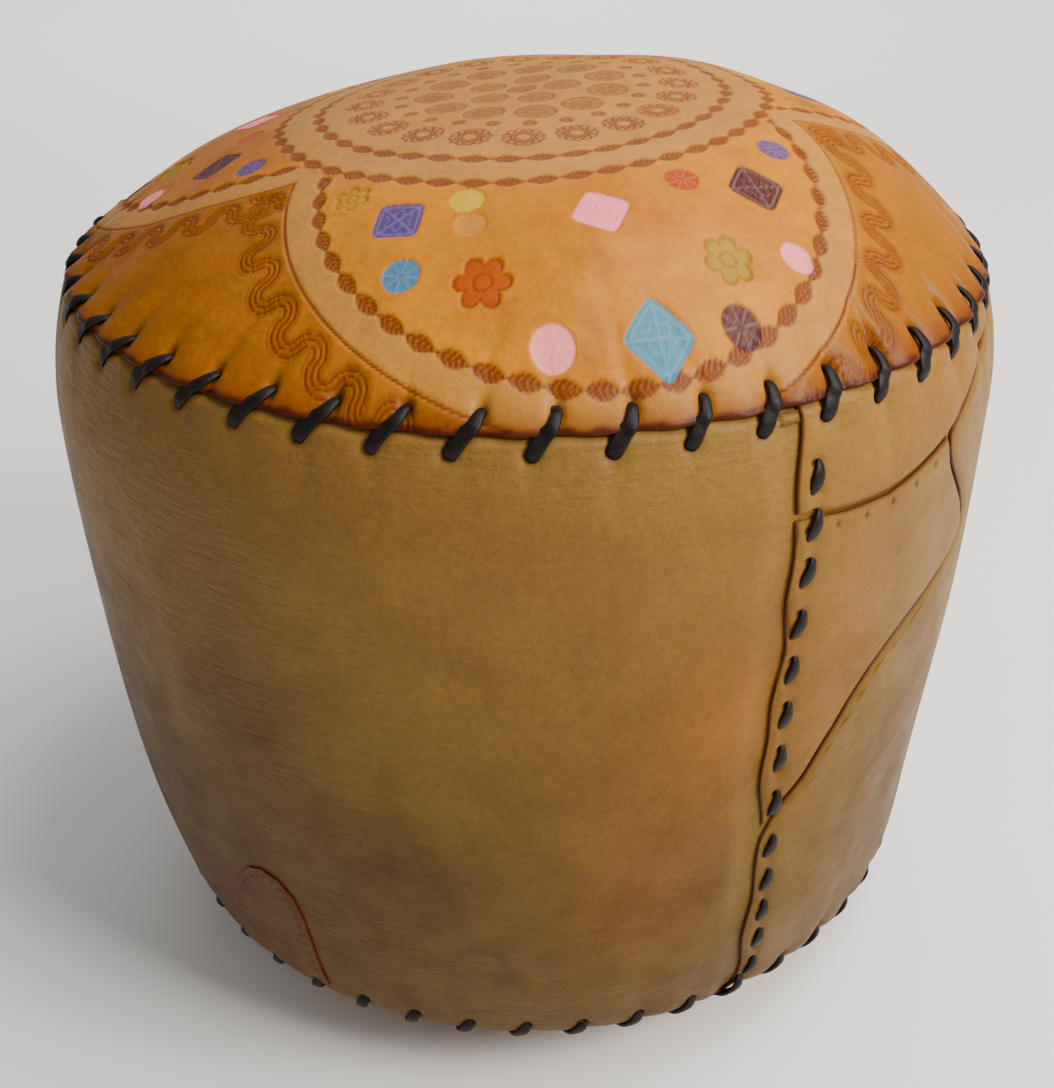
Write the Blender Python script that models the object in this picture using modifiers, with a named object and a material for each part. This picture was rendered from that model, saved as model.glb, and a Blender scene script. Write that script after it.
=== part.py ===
"""Leather floor pouf, laced with flat leather thong: a stuffed drum that rests on its base.

Every skin is cut from its own line in a (radius, height) section and swept round the
upright axis. The front is at -Y, angles are in degrees from the front towards +X.
Metres, +Z up, the floor at z = 0.
"""
import math

import bmesh
import bpy
from mathutils import Matrix, Vector

# Overall sizes
rim_radius = 0.200
rim_height = 0.3386
crown_rise = 0.0646
belly_share = 1.054
belly_height_share = 0.85056
base_seam_share = 0.931
base_seam_height = 0.0365
floor_share = 0.63

# Leather, liner and the spaces between them
crown_thickness = 0.0025
wall_thickness = 0.0022
base_thickness = 0.0025
patch_thickness = 0.0012
liner_thickness = 0.0008
rim_lap = 0.005
rim_lap_gap = 0.0010
layer_gap = 0.0004
base_seam_gap = 0.0015
liner_mouth_radius = 0.030
lacing_room = 0.0098

# Thong, slits and stitches
thong_width = 0.006
thong_thickness = 0.0015
seam_thong_width = 0.004
slit_clearance = 0.0003
thong_lift = 0.0006
stitch_pitch = 0.0262
first_stitch_angle = 2.3
first_base_stitch_angle = 5.2
stitch_slant = 2.8
stitch_slant_swing = 0.9
crown_hole_inset = 0.0055
wall_hole_drop = 0.0116
wall_hole_rise = 0.0095
base_hole_inset = 0.0095
dash_length = 0.0110
dash_pitch = 0.0211
dash_top_margin = 0.0280
dash_base_margin = 0.0210

# Wall seams, in degrees round the drum
right_seam_angle = 28.6
seam_half_lap = 1.8
dip_margin = 0.6
dip_ramp = 4.5

# How the stuffing has settled: fuller on the right, the rim a little lower there
crown_lean = 0.070
rim_tilt = -0.026
rim_shift = 0.0024
belly_shift = -0.0046

# Shape of the curves
crown_power = 3.14
wall_power = 1.5
base_power = 1.6
facets = 48
bag_facets = 24
seam_steps = 3
blade_rings = 4

# Rings of each section: shares of a radius or a height, and drops in metres
crown_shares = (0.0, 0.2, 0.4, 0.575, 0.72, 0.83, 0.915, 0.965, 1.0)
wall_shares = (0.68, 0.36, 0.13)
base_shares = (0.0, 0.3, 0.55, 0.78, 0.9, 1.0)
base_inner_share = 0.6
lip_drop = 0.0065
shoulder_drop = 0.026
foot_rise = 0.0035
tuck_share = 0.6
foot_sample_rise = 0.004

# The liner's bends
liner_shoulder_drop = 0.022
liner_belly_shares = (1.0, 0.72, 0.42)
liner_foot_rise = 0.030
liner_turn_share = 0.93
liner_floor_share = 0.5
liner_floor_lift = 0.0015
liner_mouth_lift = 0.0006
liner_corner_share = 0.97

# How far the thong stands out where it turns over an edge, as shares
rim_turn_out = 0.75
foot_turn_out = 2.2
rim_turn_at = 0.35
foot_turn_at = 0.5
tail_share = 0.2

# Extra room for the thong where it rests inside, behind the rim
inside_room = 0.0006

# Cutters that part the pieced rear half, as shares of the rim radius and height
blade_inner_share = 0.8
blade_outer_share = 1.25
blade_top_share = 1.2

# Overshoot of the patch's sheet past its outline
patch_top_margin = 0.004
patch_low_margin = 0.001
patch_side_margin = 1.5
patch_rings = 4

# Angles closer than this are made one column, in degrees
column_margin = 1.0

# The glued seams of the rear half: (angle, share of the rim height)
upper_seam = [
    (23.0, 0.877), (33.0, 0.865), (42.0, 0.867), (50.0, 0.883),
    (56.0, 0.916), (62.0, 0.948), (68.0, 0.975), (72.0, 1.030),
]
lower_seam = [
    (50.0, 0.900), (52.5, 0.845), (57.0, 0.791), (60.5, 0.738), (61.0, 0.697),
    (57.5, 0.678), (52.0, 0.669), (47.3, 0.649), (42.3, 0.613), (37.3, 0.549),
    (32.9, 0.487), (29.0, 0.431), (23.0, 0.345),
]

# The repair patch: an arch, (angle, share of the rim height)
patch_outline = [
    (-46.0, 0.151), (-45.6, 0.215), (-43.6, 0.275), (-40.6, 0.315), (-37.0, 0.333),
    (-33.6, 0.323), (-31.4, 0.290), (-30.3, 0.240), (-29.8, 0.195), (-29.4, 0.151),
]

# What follows from the sizes above
belly_radius = rim_radius * belly_share
belly_height = rim_height * belly_height_share
base_seam_radius = rim_radius * base_seam_share
floor_radius = rim_radius * floor_share
stitch_count = round(2 * math.pi * rim_radius / stitch_pitch)
stitch_step = 360 / stitch_count
facet_sag = belly_radius * (1 - math.cos(math.pi / facets))
back_seam_angle = right_seam_angle - 180
dip_depth = wall_thickness + layer_gap
outside_lift = thong_thickness / 2 + thong_lift
inside_depth = thong_thickness / 2 + thong_lift + facet_sag
slit_depth = 2 * wall_thickness + layer_gap + facet_sag + thong_lift


def clear_scene():
    """Remove every object, so the script gives the same scene each time."""
    for item in list(bpy.data.objects):
        bpy.data.objects.remove(item, do_unlink=True)


def collection_named(name):
    """A new collection under the scene's own."""
    made = bpy.data.collections.new(name)
    bpy.context.scene.collection.children.link(made)
    return made


def linear(hex_colour):
    """An sRGB hex colour as linear red, green, blue and alpha."""
    channels = []
    for start in (1, 3, 5):
        value = int(hex_colour[start:start + 2], 16) / 255
        channels.append(value / 12.92 if value <= 0.04045 else ((value + 0.055) / 1.055) ** 2.4)
    return (*channels, 1.0)


def material_of(name, hex_colour, roughness):
    """One Principled material for one piece."""
    made = bpy.data.materials.new(name)
    made.use_nodes = True
    shader = made.node_tree.nodes["Principled BSDF"]
    shader.inputs["Base Color"].default_value = linear(hex_colour)
    shader.inputs["Roughness"].default_value = roughness
    shader.inputs["Metallic"].default_value = 0.0
    return made


# The section: each line gives a (radius, height) for its own parameter


def crown_point(radius):
    """The crown's outer line."""
    share = radius / rim_radius
    return Vector((radius, rim_height + crown_rise * (1 - share ** crown_power)))


def wall_point(height):
    """The wall's outer line, full at the belly and tucked in at both seams."""
    if height > belly_height:
        share = (height - belly_height) / (rim_height - belly_height)
        return Vector((rim_radius + (belly_radius - rim_radius) * (1 - share ** 2), height))
    share = max(0.0, (height - base_seam_height) / (belly_height - base_seam_height))
    fullness = math.sqrt(1 - (1 - share) ** wall_power)
    return Vector((base_seam_radius + (belly_radius - base_seam_radius) * fullness, height))


def direction_of(line, at, step=0.0002):
    """Unit tangent of a line, towards a larger parameter."""
    return (line(at + step) - line(at - step)).normalized()


def outward(tangent, turn):
    """The tangent turned by 90 degrees: turn is 1 for clockwise, -1 for anticlockwise."""
    return Vector((tangent.y, -tangent.x)) * turn


def crown_normal(radius):
    return outward(direction_of(crown_point, radius), -1)


def wall_normal(height):
    return outward(direction_of(wall_point, height), 1)


wall_foot_normal = wall_normal(base_seam_height + foot_sample_rise)
wall_foot_tangent = Vector((-wall_foot_normal.y, wall_foot_normal.x))
base_edge = Vector((base_seam_radius, base_seam_height)) - wall_foot_tangent * base_seam_gap


def base_point(share):
    """The base's outer line: 0 at the edge of the flat, 1 at the laced edge."""
    radius = floor_radius + (base_edge.x - floor_radius) * share
    return Vector((radius, base_edge.y * max(share, 0.0) ** base_power))


def base_normal(share):
    return outward(direction_of(base_point, share, 0.002), 1)


def offset_line(points, depth):
    """A copy of a line moved sideways by depth, to the right of its direction of travel."""
    moved = []
    last = len(points) - 1
    for index, point in enumerate(points):
        before = points[max(index - 1, 0)]
        after = points[min(index + 1, last)]
        first = (point - before).normalized() if index > 0 else (after - point).normalized()
        second = (after - point).normalized() if index < last else first
        side_first = Vector((first.y, -first.x))
        side_second = Vector((second.y, -second.x))
        middle = (side_first + side_second).normalized()
        reach = depth / max(middle.dot(side_first), 0.5)
        moved.append(point + middle * reach)
    return moved


# Meshes


def place(angle, point):
    """A section point turned to its angle round the drum."""
    turn = math.radians(angle)
    return Vector((point.x * math.sin(turn), -point.x * math.cos(turn), point.y))


def settled(point):
    """Where a point of the even drum lies once the stuffing has settled."""
    radius = min(math.hypot(point.x, point.y) / rim_radius, 1.0)
    height = min(max(point.z / rim_height, 0.0), 1.0)
    crown = crown_lean * point.x * (1 - radius ** 4) * height ** 4
    tilt = rim_tilt * point.x * height
    shift = rim_shift * height + belly_shift * math.sin(math.pi * height)
    return Vector((point.x + shift, point.y, point.z + crown + tilt))


def object_from(shape, name, collection, material=None):
    """Settle a bmesh, turn its faces outward and make it an object."""
    for vertex in shape.verts:
        vertex.co = settled(vertex.co)
    mesh = bpy.data.meshes.new(name)
    shape.to_mesh(mesh)
    shape.free()
    made = bpy.data.objects.new(name, mesh)
    collection.objects.link(made)
    if material:
        mesh.materials.append(material)
        mesh.polygons.foreach_set("use_smooth", [True] * len(mesh.polygons))
    return made


def swept(line, angles):
    """Sweep a section line through a list of angles. A full turn is closed."""
    shape = bmesh.new()
    corners = [shape.verts.new(place(angles[0], point)) for point in line]
    edges = [shape.edges.new(pair) for pair in zip(corners, corners[1:])]
    last = corners + edges
    for start, end in zip(angles, angles[1:]):
        turned = bmesh.ops.spin(
            shape, geom=last, cent=(0, 0, 0), axis=(0, 0, 1),
            angle=math.radians(end - start), steps=1, use_duplicate=False,
        )
        last = turned["geom_last"]
    bmesh.ops.remove_doubles(shape, verts=shape.verts, dist=0.00001)
    bmesh.ops.recalc_face_normals(shape, faces=shape.faces)
    return shape


def face_outward(shape):
    """Turn an open skin so that its faces point away from the middle of the drum."""
    middle = Vector((0, 0, rim_height / 2))
    outwards = 0.0
    for face in shape.faces:
        outwards += face.normal.dot(face.calc_center_median() - middle) * face.calc_area()
    if outwards < 0:
        bmesh.ops.reverse_faces(shape, faces=shape.faces)


def thicken(target, thickness, offset):
    """Give an open skin its thickness: offset -1 is inward, 0 is both ways."""
    modifier = target.modifiers.new("thickness", "SOLIDIFY")
    modifier.thickness = thickness
    modifier.offset = offset
    modifier.use_even_offset = True


def cut(target, cutter, operation="DIFFERENCE"):
    """Cut a piece with a cutter, or keep only what lies inside it."""
    modifier = target.modifiers.new(cutter.name, "BOOLEAN")
    modifier.operation = operation
    modifier.solver = "EXACT"
    modifier.object = cutter


def full_turn(count=facets):
    return [360 * step / count for step in range(count + 1)]


def angles_between(start, end, extra=()):
    """The shared facet angles that lie inside a stretch, its two ends and any extra ones."""
    step = 360 / facets
    first = math.ceil((start + column_margin) / step)
    final = math.floor((end - column_margin) / step)
    inside = [number * step for number in range(first, final + 1)]
    inside = [angle for angle in inside
              if all(abs(angle - other) > column_margin for other in extra)]
    return sorted([start, end, *inside, *extra])


# Lines of the pieces


def crown_line(depth=0.0):
    line = [crown_point(rim_radius * share) for share in crown_shares]
    if depth == 0.0:
        return line
    moved = offset_line(line, depth)
    moved[0].x = 0.0
    return moved


def wall_heights():
    low = base_seam_height
    heights = [rim_height - lip_drop, rim_height - wall_hole_drop]
    heights += [rim_height - shoulder_drop, belly_height]
    heights += [low + (belly_height - low) * share for share in wall_shares]
    return heights + [low + wall_hole_rise, low + foot_rise, low]


def wall_line():
    """From the edge hidden under the crown down to the laced foot."""
    hidden = [crown_point(rim_radius - rim_lap * tuck_share), crown_point(rim_radius)]
    tuck = offset_line(hidden, crown_thickness + rim_lap_gap)
    return tuck + [wall_point(height) for height in wall_heights()]


def base_line():
    line = [Vector((0.0, 0.0)), Vector((floor_radius * base_inner_share, 0.0))]
    return line + [base_point(share) for share in base_shares]


def liner_line():
    """From the middle of the crown, round inside the lacing, to the mouth at the base."""
    close = crown_thickness + layer_gap
    line = crown_line(close)[:5]
    line.append(crown_line((close + lacing_room) / 2)[5])
    line.append(crown_line(lacing_room)[6])
    heights = [rim_height - liner_shoulder_drop]
    heights += [belly_height * share for share in liner_belly_shares]
    heights += [base_seam_height + liner_foot_rise]
    line += [wall_point(height) - wall_normal(height) * lacing_room for height in heights]
    line.append(base_point(liner_turn_share) - base_normal(liner_turn_share) * lacing_room)
    inner_floor = base_thickness + layer_gap
    raised = inner_floor + liner_floor_lift
    line.append(base_point(liner_floor_share) - base_normal(liner_floor_share) * raised)
    line.append(Vector((floor_radius * liner_corner_share, inner_floor + liner_mouth_lift)))
    line.append(Vector((liner_mouth_radius, inner_floor + liner_mouth_lift)))
    return line


# Pieces


def make_crown(collection, slits):
    shape = swept(crown_line(), full_turn())
    face_outward(shape)
    panel = object_from(shape, "crown_panel", collection,
                        material_of("crown_leather", "#B9782F", 0.42))
    thicken(panel, crown_thickness, -1)
    cut(panel, slits)
    return panel


def dip_at(angle):
    """How far the front hide dips under the rear one at an angle, from 0 to 1."""
    reach = seam_half_lap + dip_margin
    to_right = right_seam_angle - reach - angle
    to_back = angle - (back_seam_angle + reach)
    nearest = min(to_right, to_back)
    return min(max(1 - nearest / dip_ramp, 0.0), 1.0)


def make_front_wall(collection, slits):
    start = back_seam_angle - seam_half_lap
    end = right_seam_angle + seam_half_lap
    reach = seam_half_lap + dip_margin
    extra = [back_seam_angle, back_seam_angle + reach, back_seam_angle + reach + dip_ramp]
    extra += [right_seam_angle - reach - dip_ramp, right_seam_angle - reach, right_seam_angle]
    shape = swept(wall_line(), angles_between(start, end, extra))
    face_outward(shape)
    shape.normal_update()
    dipped = []
    for vertex in shape.verts:
        angle = math.degrees(math.atan2(vertex.co.x, -vertex.co.y))
        if angle > end + 1:
            angle -= 360
        dipped.append(vertex.co - vertex.normal * dip_depth * dip_at(angle))
    for vertex, target in zip(shape.verts, dipped):
        vertex.co = target
    panel = object_from(shape, "wall_panel_front", collection,
                        material_of("front_leather", "#A47D42", 0.48))
    thicken(panel, wall_thickness, -1)
    cut(panel, slits)
    return panel


def rear_wall(name, collection, hex_colour):
    """The whole rear half of the wall, before it is cut into its pieces."""
    start = right_seam_angle - seam_half_lap
    end = back_seam_angle + 360 + seam_half_lap
    extra = [right_seam_angle + seam_half_lap, end - 2 * seam_half_lap]
    shape = swept(wall_line(), angles_between(start, end, extra))
    face_outward(shape)
    panel = object_from(shape, name, collection, material_of(name, hex_colour, 0.5))
    thicken(panel, wall_thickness, -1)
    return panel


def seam_points(seam):
    """A glued seam as a smooth line of (distance round the belly, height)."""
    corners = [Vector((math.radians(angle) * belly_radius, share * rim_height))
               for angle, share in seam]
    line = [corners[0]]
    for index in range(len(corners) - 1):
        start, end = corners[index:index + 2]
        leaving = (end - corners[max(index - 1, 0)]) / 2
        arriving = (corners[min(index + 2, len(corners) - 1)] - start) / 2
        for step in range(1, seam_steps + 1):
            t = step / seam_steps
            line.append(start * (2 * t ** 3 - 3 * t ** 2 + 1) + leaving * (t ** 3 - 2 * t ** 2 + t)
                        + end * (3 * t ** 2 - 2 * t ** 3) + arriving * (t ** 3 - t ** 2))
    return line


def blade(name, outline, collection):
    """A solid that holds everything inside an outline drawn on the wall."""
    inner = rim_radius * blade_inner_share
    outer = rim_radius * blade_outer_share
    shape = bmesh.new()
    corners = []
    for point in outline:
        angle = math.degrees(point.x / belly_radius)
        corners.append(shape.verts.new(place(angle, Vector((inner, point.y)))))
    front = [shape.faces.new(corners)]
    for ring in range(blade_rings):
        reached = inner + (outer - inner) * ring / blade_rings
        grow = (reached + (outer - inner) / blade_rings) / reached
        behind = front
        pushed = bmesh.ops.extrude_face_region(shape, geom=behind)
        front = [item for item in pushed["geom"] if isinstance(item, bmesh.types.BMFace)]
        if ring > 0:
            bmesh.ops.delete(shape, geom=behind, context="FACES_ONLY")
        bmesh.ops.scale(shape, vec=(grow, grow, 1.0), verts=front[0].verts)
    bmesh.ops.triangulate(shape, faces=shape.faces)
    bmesh.ops.recalc_face_normals(shape, faces=shape.faces)
    return cutter_from(shape, name, collection)


def cutter_from(shape, name, collection):
    """A cutter object: never rendered, drawn as wire."""
    made = object_from(shape, name, collection)
    made.hide_render = True
    made.display_type = "WIRE"
    return made


def height_on(line, across):
    """The height of a seam at a distance round the belly."""
    for start, end in zip(line, line[1:]):
        if start.x <= across <= end.x:
            return start.lerp(end, (across - start.x) / (end.x - start.x)).y
    return line[-1].y


def rear_blades(collection):
    """The solids that part the rear half: the upper and middle pieces, and what is left."""
    gap = layer_gap / 2
    above = rim_height * blade_top_share
    upper = seam_points(upper_seam)
    lower = seam_points(lower_seam)
    clear = wall_thickness * 2
    leaving = next(index for index, point in enumerate(lower)
                   if point.y < height_on(upper, point.x) - clear)
    crossing = sum(point.x < lower[leaving].x - clear / 2 for point in upper)
    blades = {}
    for name, shift in (("shrunk", gap), ("grown", -gap)):
        roof = offset_line(upper, -shift)
        outline = [Vector((roof[0].x, above)), *roof, Vector((roof[-1].x, above))]
        blades["upper_" + name] = blade("upper_piece_" + name, outline, collection)
        floor = offset_line(lower, shift)
        roof = offset_line(upper, shift)
        outline = [*roof[:crossing], *floor[leaving:]]
        blades["middle_" + name] = blade("middle_piece_" + name, outline, collection)
    return blades


def make_rear_wall(collection, cutters, slits):
    blades = rear_blades(cutters)
    upper = rear_wall("wall_panel_upper", collection, "#AF8443")
    cut(upper, blades["upper_shrunk"], "INTERSECT")
    middle = rear_wall("wall_panel_middle", collection, "#A9803F")
    cut(middle, blades["middle_shrunk"], "INTERSECT")
    lower = rear_wall("wall_panel_lower", collection, "#9E7648")
    cut(lower, blades["upper_grown"])
    cut(lower, blades["middle_grown"])
    for panel in (upper, middle, lower):
        cut(panel, slits)


def make_patch(collection, cutters):
    """The arched patch, glued on the outside of the front hide."""
    outline = seam_points(patch_outline)
    heights = [point.y for point in outline]
    top = max(heights) + patch_top_margin
    low = min(heights) - patch_low_margin
    lift = patch_thickness + layer_gap
    span = [low + (top - low) * step / patch_rings for step in range(patch_rings, -1, -1)]
    line = [wall_point(height) + wall_normal(height) * lift for height in span]
    first = patch_outline[0][0] - patch_side_margin
    final = patch_outline[-1][0] + patch_side_margin
    shape = swept(line, angles_between(first, final))
    face_outward(shape)
    patch = object_from(shape, "repair_patch", collection,
                        material_of("patch_leather", "#B08546", 0.5))
    thicken(patch, patch_thickness, -1)
    cut(patch, blade("patch_outline", outline, cutters), "INTERSECT")


def make_base(collection, slits):
    shape = swept(base_line(), full_turn())
    face_outward(shape)
    panel = object_from(shape, "base_panel", collection,
                        material_of("base_leather", "#8D6A3E", 0.6))
    thicken(panel, base_thickness, -1)
    cut(panel, slits)


def make_liner(collection):
    shape = swept(liner_line(), full_turn(bag_facets))
    face_outward(shape)
    liner = object_from(shape, "calico_liner", collection,
                        material_of("calico", "#D9CFB8", 0.9))
    thicken(liner, liner_thickness, -1)


def make_stuffing(collection):
    """The packed filling, a little smaller than the inside of the liner."""
    line = offset_line(liner_line(), liner_thickness + 2 * layer_gap)
    line[0].x = 0.0
    line[-1] = Vector((0.0, line[-1].y))
    shape = swept(line, full_turn(bag_facets))
    object_from(shape, "stuffing", collection, material_of("wool_stuffing", "#C9BFA6", 0.95))


# Slits and thongs


def box_at(shape, angle, point, normal, width, depth):
    """A slit: as wide as the thong and its clearance, square to the skin."""
    turn = math.radians(angle)
    across = Vector((math.cos(turn), math.sin(turn), 0))
    out = Vector((normal.x * math.sin(turn), -normal.x * math.cos(turn), normal.y))
    along = out.cross(across)
    centre = place(angle, point - normal * (depth / 2 - thong_lift))
    sides = (across * (width + 2 * slit_clearance),
             along * (thong_thickness + 2 * slit_clearance),
             out * (depth + 2 * thong_lift))
    matrix = Matrix.Translation(centre) @ Matrix((
        (sides[0].x, sides[1].x, sides[2].x, 0),
        (sides[0].y, sides[1].y, sides[2].y, 0),
        (sides[0].z, sides[1].z, sides[2].z, 0),
        (0, 0, 0, 1),
    ))
    bmesh.ops.create_cube(shape, size=1.0, matrix=matrix)


def slant_at(angle):
    """How far a rim stitch leans: the maker pulled harder on one side than the other."""
    return stitch_slant - stitch_slant_swing * math.sin(math.radians(2 * angle))


def stitch_angles(first):
    return [first - stitch_step * number for number in range(stitch_count)]


def near_lap(angle):
    """1 where the wall is two hides thick, 0 where it is one."""
    for seam in (right_seam_angle, back_seam_angle):
        apart = abs((angle - seam + 180) % 360 - 180)
        if apart < seam_half_lap + dip_margin + dip_ramp + column_margin:
            return 1
    return 0


def ribbon(name, path, width, collection, material):
    """A flat thong along a path of (angle, radius, height), made by extruding its end edge."""
    shape = bmesh.new()
    edge = None
    for angle, point in path:
        turn = math.radians(angle)
        across = Vector((math.cos(turn), math.sin(turn), 0)) * width / 2
        centre = place(angle, point)
        if edge is None:
            ends = [shape.verts.new(centre - across), shape.verts.new(centre + across)]
            edge = shape.edges.new(ends)
            continue
        before = edge.verts[:]
        made = bmesh.ops.extrude_edge_only(shape, edges=[edge])["geom"]
        edge = next(item for item in made
                    if isinstance(item, bmesh.types.BMEdge) and not set(item.verts) & set(before))
        left, right = edge.verts
        if (right.co - left.co).dot(across) < 0:
            left, right = right, left
        left.co = centre - across
        right.co = centre + across
    bmesh.ops.recalc_face_normals(shape, faces=shape.faces)
    thong = object_from(shape, name, collection, material)
    thicken(thong, thong_thickness, 0)
    return thong


def make_rim_lacing(collection, crown_slits, wall_slits):
    """Out through the crown, over its cut edge, in through the wall, and on to the next hole."""
    hole_radius = rim_radius - crown_hole_inset
    hole = crown_point(hole_radius)
    hole_out = crown_normal(hole_radius)
    turn_out = crown_normal(rim_radius) + Vector((rim_turn_out, 0))
    edge = crown_point(rim_radius) + turn_out * outside_lift
    low_height = rim_height - wall_hole_drop
    low = wall_point(low_height)
    low_out = wall_normal(low_height)
    tuck = wall_line()[0]
    tuck_out = crown_normal(rim_radius)
    path = []
    for angle in stitch_angles(first_stitch_angle):
        low_angle = angle - slant_at(angle)
        resting = (low_angle + angle - stitch_step) / 2
        double = near_lap(resting) * dip_depth
        below = wall_thickness + inside_depth + double
        path.append((angle, hole - hole_out * (crown_thickness + inside_depth)))
        path.append((angle, hole + hole_out * outside_lift))
        path.append((angle - rim_turn_at * slant_at(angle), edge))
        path.append((low_angle, low + low_out * outside_lift))
        path.append((low_angle, low - low_out * below))
        path.append((resting, tuck - tuck_out * (below + inside_room)))
        box_at(crown_slits, angle, hole, hole_out, thong_width, slit_depth)
        box_at(wall_slits, low_angle, low, low_out, thong_width, slit_depth)
    ribbon("rim_lacing", path, thong_width, collection,
           material_of("rim_thong", "#33221B", 0.4))


def make_base_lacing(collection, base_slits, wall_slits):
    """Over the butted edges of the wall and the base, all round."""
    high_height = base_seam_height + wall_hole_rise
    high = wall_point(high_height)
    high_out = wall_normal(high_height)
    foot = Vector((base_seam_radius, base_seam_height))
    foot += wall_foot_normal * outside_lift * foot_turn_out
    share = 1 - base_hole_inset / (base_edge.x - floor_radius)
    hole = base_point(share)
    hole_out = base_normal(share)
    path = []
    for angle in stitch_angles(first_base_stitch_angle):
        low_angle = angle - stitch_slant
        double = near_lap(angle) * dip_depth
        path.append((angle, high - high_out * (wall_thickness + inside_depth + double)))
        path.append((angle, high + high_out * outside_lift))
        path.append((angle - foot_turn_at * stitch_slant, foot))
        path.append((low_angle, hole + hole_out * outside_lift))
        path.append((low_angle, hole - hole_out * (base_thickness + inside_depth)))
        inward = (hole_out + wall_foot_normal) / 2
        inside = base_edge - inward * (base_thickness + 2 * inside_depth + double)
        path.append(((low_angle + angle - stitch_step) / 2, inside))
        box_at(wall_slits, angle, high, high_out, thong_width, slit_depth)
        box_at(base_slits, low_angle, hole, hole_out, thong_width, slit_depth)
    ribbon("base_lacing", path, thong_width, collection,
           material_of("base_thong", "#33221B", 0.45))


def make_seam_lacing(name, angle, collection, wall_slits):
    """A running stitch down a lapped seam, its ends turned back inside."""
    top = rim_height - dash_top_margin
    low = base_seam_height + dash_base_margin
    count = max(2, round((top - low) / dash_pitch) + 1)
    step = (top - low) / (count - 1)
    below = 2 * wall_thickness + layer_gap + inside_depth

    def outside(height):
        return angle, wall_point(height) + wall_normal(height) * outside_lift

    def inside(height):
        return angle, wall_point(height) - wall_normal(height) * below

    half = dash_length / 2
    path = [inside(top - half * tail_share)]
    for number in range(count):
        middle = top - step * number
        for height in (middle + half, middle - half):
            box_at(wall_slits, angle, wall_point(height), wall_normal(height),
                   seam_thong_width, slit_depth)
        path += [inside(middle + half), outside(middle + half)]
        path += [outside(middle - half), inside(middle - half)]
    path.append(inside(low + half * tail_share))
    ribbon(name, path, seam_thong_width, collection,
           material_of(name + "_thong", "#33221B", 0.45))


def main():
    clear_scene()
    pouf = collection_named("laced_leather_pouf")
    cutters = collection_named("cutters")
    cutters.hide_render = True
    crown_slits = bmesh.new()
    wall_slits = bmesh.new()
    base_slits = bmesh.new()
    make_rim_lacing(pouf, crown_slits, wall_slits)
    make_base_lacing(pouf, base_slits, wall_slits)
    make_seam_lacing("right_seam_lacing", right_seam_angle, pouf, wall_slits)
    make_seam_lacing("back_seam_lacing", back_seam_angle, pouf, wall_slits)
    crown_cutter = cutter_from(crown_slits, "crown_slits", cutters)
    wall_cutter = cutter_from(wall_slits, "wall_slits", cutters)
    base_cutter = cutter_from(base_slits, "base_slits", cutters)
    make_crown(pouf, crown_cutter)
    make_front_wall(pouf, wall_cutter)
    make_rear_wall(pouf, cutters, wall_cutter)
    make_patch(pouf, cutters)
    make_base(pouf, base_cutter)
    make_liner(pouf)
    make_stuffing(pouf)


main()
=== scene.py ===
# %% [markdown]
# # A laced leather pouf
# A floor pouf is a bag of hides, tooled and painted while they lie flat, then laced round a
# firm stuffing of wool and rag. This lesson dresses the measured model in the same order:
# each hide starts as a flat sheet, is tooled and dyed, and is then wrapped on the drum.

# %% Load the measured model
import bpy
import bmesh
import math
import numpy as np
from mathutils import Matrix, Vector


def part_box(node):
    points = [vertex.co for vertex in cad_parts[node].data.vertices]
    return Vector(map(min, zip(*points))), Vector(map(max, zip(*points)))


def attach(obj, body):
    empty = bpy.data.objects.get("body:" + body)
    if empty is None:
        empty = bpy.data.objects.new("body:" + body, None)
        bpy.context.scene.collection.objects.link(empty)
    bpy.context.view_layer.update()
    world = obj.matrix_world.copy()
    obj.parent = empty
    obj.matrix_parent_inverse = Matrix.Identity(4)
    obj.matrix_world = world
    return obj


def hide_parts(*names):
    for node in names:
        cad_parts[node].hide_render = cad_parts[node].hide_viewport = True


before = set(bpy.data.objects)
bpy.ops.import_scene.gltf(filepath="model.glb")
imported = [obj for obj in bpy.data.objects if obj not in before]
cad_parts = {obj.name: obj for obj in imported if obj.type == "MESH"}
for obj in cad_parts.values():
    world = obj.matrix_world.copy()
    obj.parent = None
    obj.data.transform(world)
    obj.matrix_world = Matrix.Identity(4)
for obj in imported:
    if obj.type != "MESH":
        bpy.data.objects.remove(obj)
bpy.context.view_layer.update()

# %% [markdown]
# ## The drum
# Two curves give the stuffed form: a crown that is flat on top and falls at 45 degrees to
# the rim, and a wall that swells below the rim and tucks in to the base. The sizes are the
# ones the hides were cut to in the solid model. Where the pouf has been sat on it has
# settled to one side, which is one last move applied to every point.

# %% Sizes, in millimetres and degrees
rim_radius = 200.0
rim_height = 338.6
crown_rise = 64.6
belly_radius = 210.8
belly_height = 288.0
base_seam_radius = 186.2
base_seam_height = 36.5
floor_radius = 126.0
hide_thickness = 2.2
crown_thickness = 2.5
stitch_count = 48
stitch_step = 360.0 / stitch_count
rim_stitch_angle = 2.3
base_stitch_angle = 5.2
base_slant = 2.8
right_seam = 28.6
back_seam = right_seam - 180.0
half_lap = 1.8
arc_mm = math.radians(1) * 206.0
random = np.random.default_rng(7)


# %% Curves of the crown, wall and base
def smooth(start, end, value):
    """Ease from 0 at start to 1 at end."""
    share = np.clip((value - start) / (end - start), 0.0, 1.0)
    return share * share * (3.0 - 2.0 * share)


def crown_curve(station):
    """Radius and height, station millimetres out from the middle."""
    fall = (np.abs(station) / rim_radius) ** 3.14
    return station, rim_height + crown_rise * (1.0 - fall)


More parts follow.
